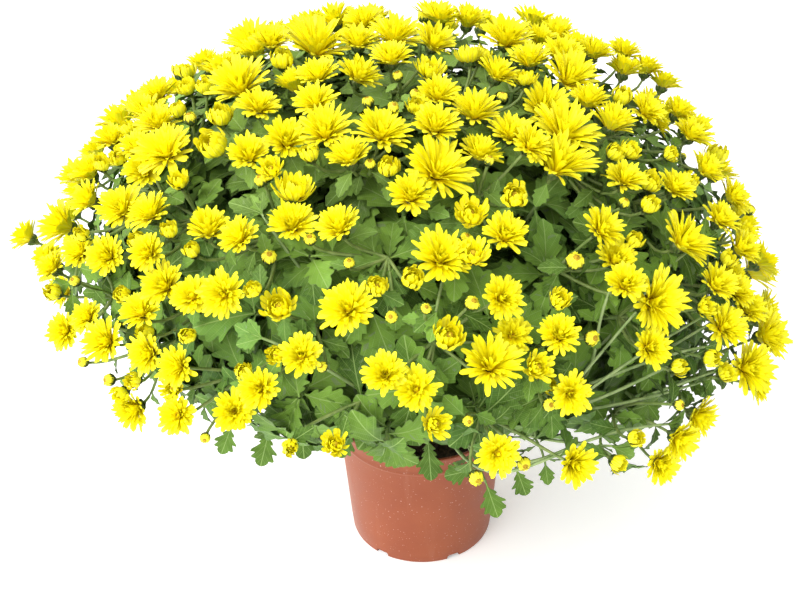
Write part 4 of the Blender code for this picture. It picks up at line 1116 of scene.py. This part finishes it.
def leaf_look(name, dark, light, cool, vein, vein_share, roughness):
    look = Look(name, roughness, 0.14)
    across, along = look.places()
    away = look.math("ABSOLUTE", look.math("SUBTRACT", across, 0.5))
    rib = look.between(away, 0.006, 0.020, 1.0, 0.0)
    slanted = look.math("SUBTRACT", along, look.times(away, 0.95))
    waves = look.math("PINGPONG", look.times(look.math("ADD", slanted, 0.015), 5.2), 0.5)
    side = look.between(waves, 0.0, 0.055, 1.0, 0.0)
    steeper = look.math("ADD", slanted, look.times(away, 1.9))
    fine = look.math("PINGPONG", look.times(steeper, 24.0), 0.5)
    net = look.between(fine, 0.0, 0.12, 0.35, 0.0)
    branched = look.math("MAXIMUM", look.times(side, 0.75), net)
    veins = look.math("MAXIMUM", rib, branched)
    patch = look.between(look.noise(34.0, 4.0), 0.30, 0.72)
    tone = look.math("ADD", look.times(look.tone(), 0.62), look.times(patch, 0.38))
    green = look.blend(tone, 0.12, 0.88, dark, light)
    blade = look.blend(look.noise(11.0), 0.48, 0.66, green, cool, 0.45)
    mottled = look.blend(look.noise(420.0), 0.45, 0.75, blade, light, 0.28)
    height = look.height()
    # Painted shade: leaves low in the bush are mixed towards the dark green
    shaded_low = look.mix(look.between(height, *SHADED_LOW_LEAF_HEIGHTS, SHADED_LOW_LEAF_SHARE), dark, mottled)
    # Painted light: leaves high on the bush are mixed towards a paler green
    lit_top = look.blend(height, *LIT_TOP_LEAF_HEIGHTS, shaded_low, LIT_TOP_LEAF_COLOUR, LIT_TOP_LEAF_SHARE)
    look.colour(look.mix(look.times(veins, vein_share), lit_top, vein))
    look.bump(look.math("SUBTRACT", look.times(look.noise(520.0), 0.35), veins), 0.45, 0.0005)
    look.shade({"Roughness": look.between(look.noise(60.0), 0.3, 0.7, roughness - 0.07, roughness + 0.09)})
    return look.material


def pot_look():
    look = Look("terracotta_plastic", 0.42, 0.4)
    broad = look.noise(14.0, 4.0)
    body = look.blend(broad, 0.3, 0.7, (0.250, 0.053, 0.015), (0.295, 0.071, 0.023))
    streaks = look.noise(60.0, 4.0, 0.6, (1.0, 1.0, 0.12))
    worn = look.blend(streaks, 0.55, 0.78, body, (0.34, 0.12, 0.065), 0.35)
    look.colour(look.blend(look.noise(620.0, 1.0), 0.71, 0.75, worn, (0.74, 0.52, 0.44), 0.46))
    grain = look.math("ADD", look.noise(1400.0, 2.0), look.times(streaks, 0.8))
    look.bump(grain, 0.22, 0.0003)
    look.shade({"Roughness": look.between(broad, 0.3, 0.7, 0.36, 0.52)})
    return look.material


def soil_look():
    look = Look("dark_soil", 0.92, 0.2)
    grain = look.noise(300.0, 6.0, 0.7)
    earth = look.blend(grain, 0.3, 0.7, (0.012, 0.008, 0.005), (0.060, 0.038, 0.022))
    fibres = look.noise(900.0, 2.0, 0.5, (1.0, 0.2, 1.0))
    brown = look.blend(fibres, 0.62, 0.70, earth, (0.13, 0.075, 0.035), 0.5)
    look.colour(look.blend(look.tone(), 0.85, 0.95, brown, (0.62, 0.58, 0.50)))
    look.bump(grain, 0.9, 0.0012)
    return look.material


# Surroundings


def make_floor():
    bpy.ops.mesh.primitive_plane_add(size=FLOOR_SIZE, location=(0.0, 0.0, -FLOOR_GAP))
    floor = bpy.context.object
    floor.name = "floor"
    look = Look("white_floor", 0.75, 0.2)
    look.colour((0.93, 0.93, 0.93, 1.0))
    look.shade({"Emission Color": (1.0, 1.0, 1.0, 1.0), "Emission Strength": FLOOR_GLOW})
    floor.data.materials.append(look.material)


def make_light():
    world = bpy.data.worlds.new("studio")
    world.use_nodes = True
    nodes = Nodes(world.node_tree)
    across = nodes.split(nodes.node("TexCoord").outputs["Generated"])["X"]
    ends = {"Value": across, "From Min": -1.0, "To Min": SKY_LEFT, "To Max": SKY_RIGHT}
    strength = nodes.node("MapRange", ends).outputs["Result"]
    nodes.fill(world.node_tree.nodes["Background"], {"Color": (1.0, 1.0, 1.0, 1.0), "Strength": strength})
    bpy.context.scene.world = world
    make_lamp()


def make_lamp():
    data = bpy.data.lights.new("key", "AREA")
    data.shape = "DISK"
    data.size = KEY_SIZE
    data.energy = KEY_POWER
    lamp = new_object("key", data)
    lamp.location = KEY_PLACE
    lamp.rotation_euler = (KEY_AIM - Vector(KEY_PLACE)).to_track_quat("-Z", "Y").to_euler()


def make_camera():
    data = bpy.data.cameras.new("camera")
    data.angle = 2.0 * CAMERA_HALF_WIDTH
    data.clip_start = 0.01
    data.clip_end = 60.0
    camera = new_object("camera", data)
    camera.matrix_world = Matrix.Translation(CAMERA_PLACE) @ CAMERA_AXES.to_4x4()
    bpy.context.scene.camera = camera


def main():
    bpy.context.scene.view_settings.view_transform = "Standard"
    make_camera()
    make_light()
    make_floor()
    make_pot(pot_look())
    make_soil(soil_look())
    stalk = stem_look("flower_stalk", (0.13, 0.20, 0.045), (0.24, 0.31, 0.09))
    shoot = stem_look("green_shoot", (0.15, 0.25, 0.065), (0.27, 0.36, 0.13))
    wood = stem_look("woody_stem", (0.14, 0.10, 0.05), (0.27, 0.21, 0.12))
    pale = stem_look("pale_shoot", (0.18, 0.27, 0.085), (0.31, 0.40, 0.165))
    petals = petal_look("petal", (0.99, 0.77, 0.0), (0.99, 0.91, 0.004), (1.0, 0.96, 0.02))
    backs = petal_look("petal_back", (0.90, 0.80, 0.08), (0.95, 0.89, 0.05), (0.98, 0.94, 0.03))
    flower_materials = [stalk, petals, backs, heart_look(), bract_look()]
    hubs, stalk_paths, blooms = [], [], []
    for name in sorted(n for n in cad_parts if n.startswith("spray_")):
        heads, hub = read_spray(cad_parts[name])
        hubs.append(hub)
        blooms += [(*base, *axis, width) for kind, base, axis, width in heads if kind != "bud"]
        stalk_paths += make_spray(name, heads, hub, flower_materials)
    leaf_materials = [
        leaf_look("leaf_face", (0.049, 0.108, 0.012), (0.190, 0.345, 0.046), (0.085, 0.205, 0.052),
                  (0.30, 0.43, 0.13), 0.75, 0.50),
        leaf_look("leaf_back", (0.105, 0.172, 0.052), (0.195, 0.290, 0.105), (0.135, 0.230, 0.110),
                  (0.30, 0.37, 0.17), 0.85, 0.68),
    ]
    make_plant(hubs, stalk_paths, np.array(blooms), leaf_materials, [shoot, wood, pale])


main()
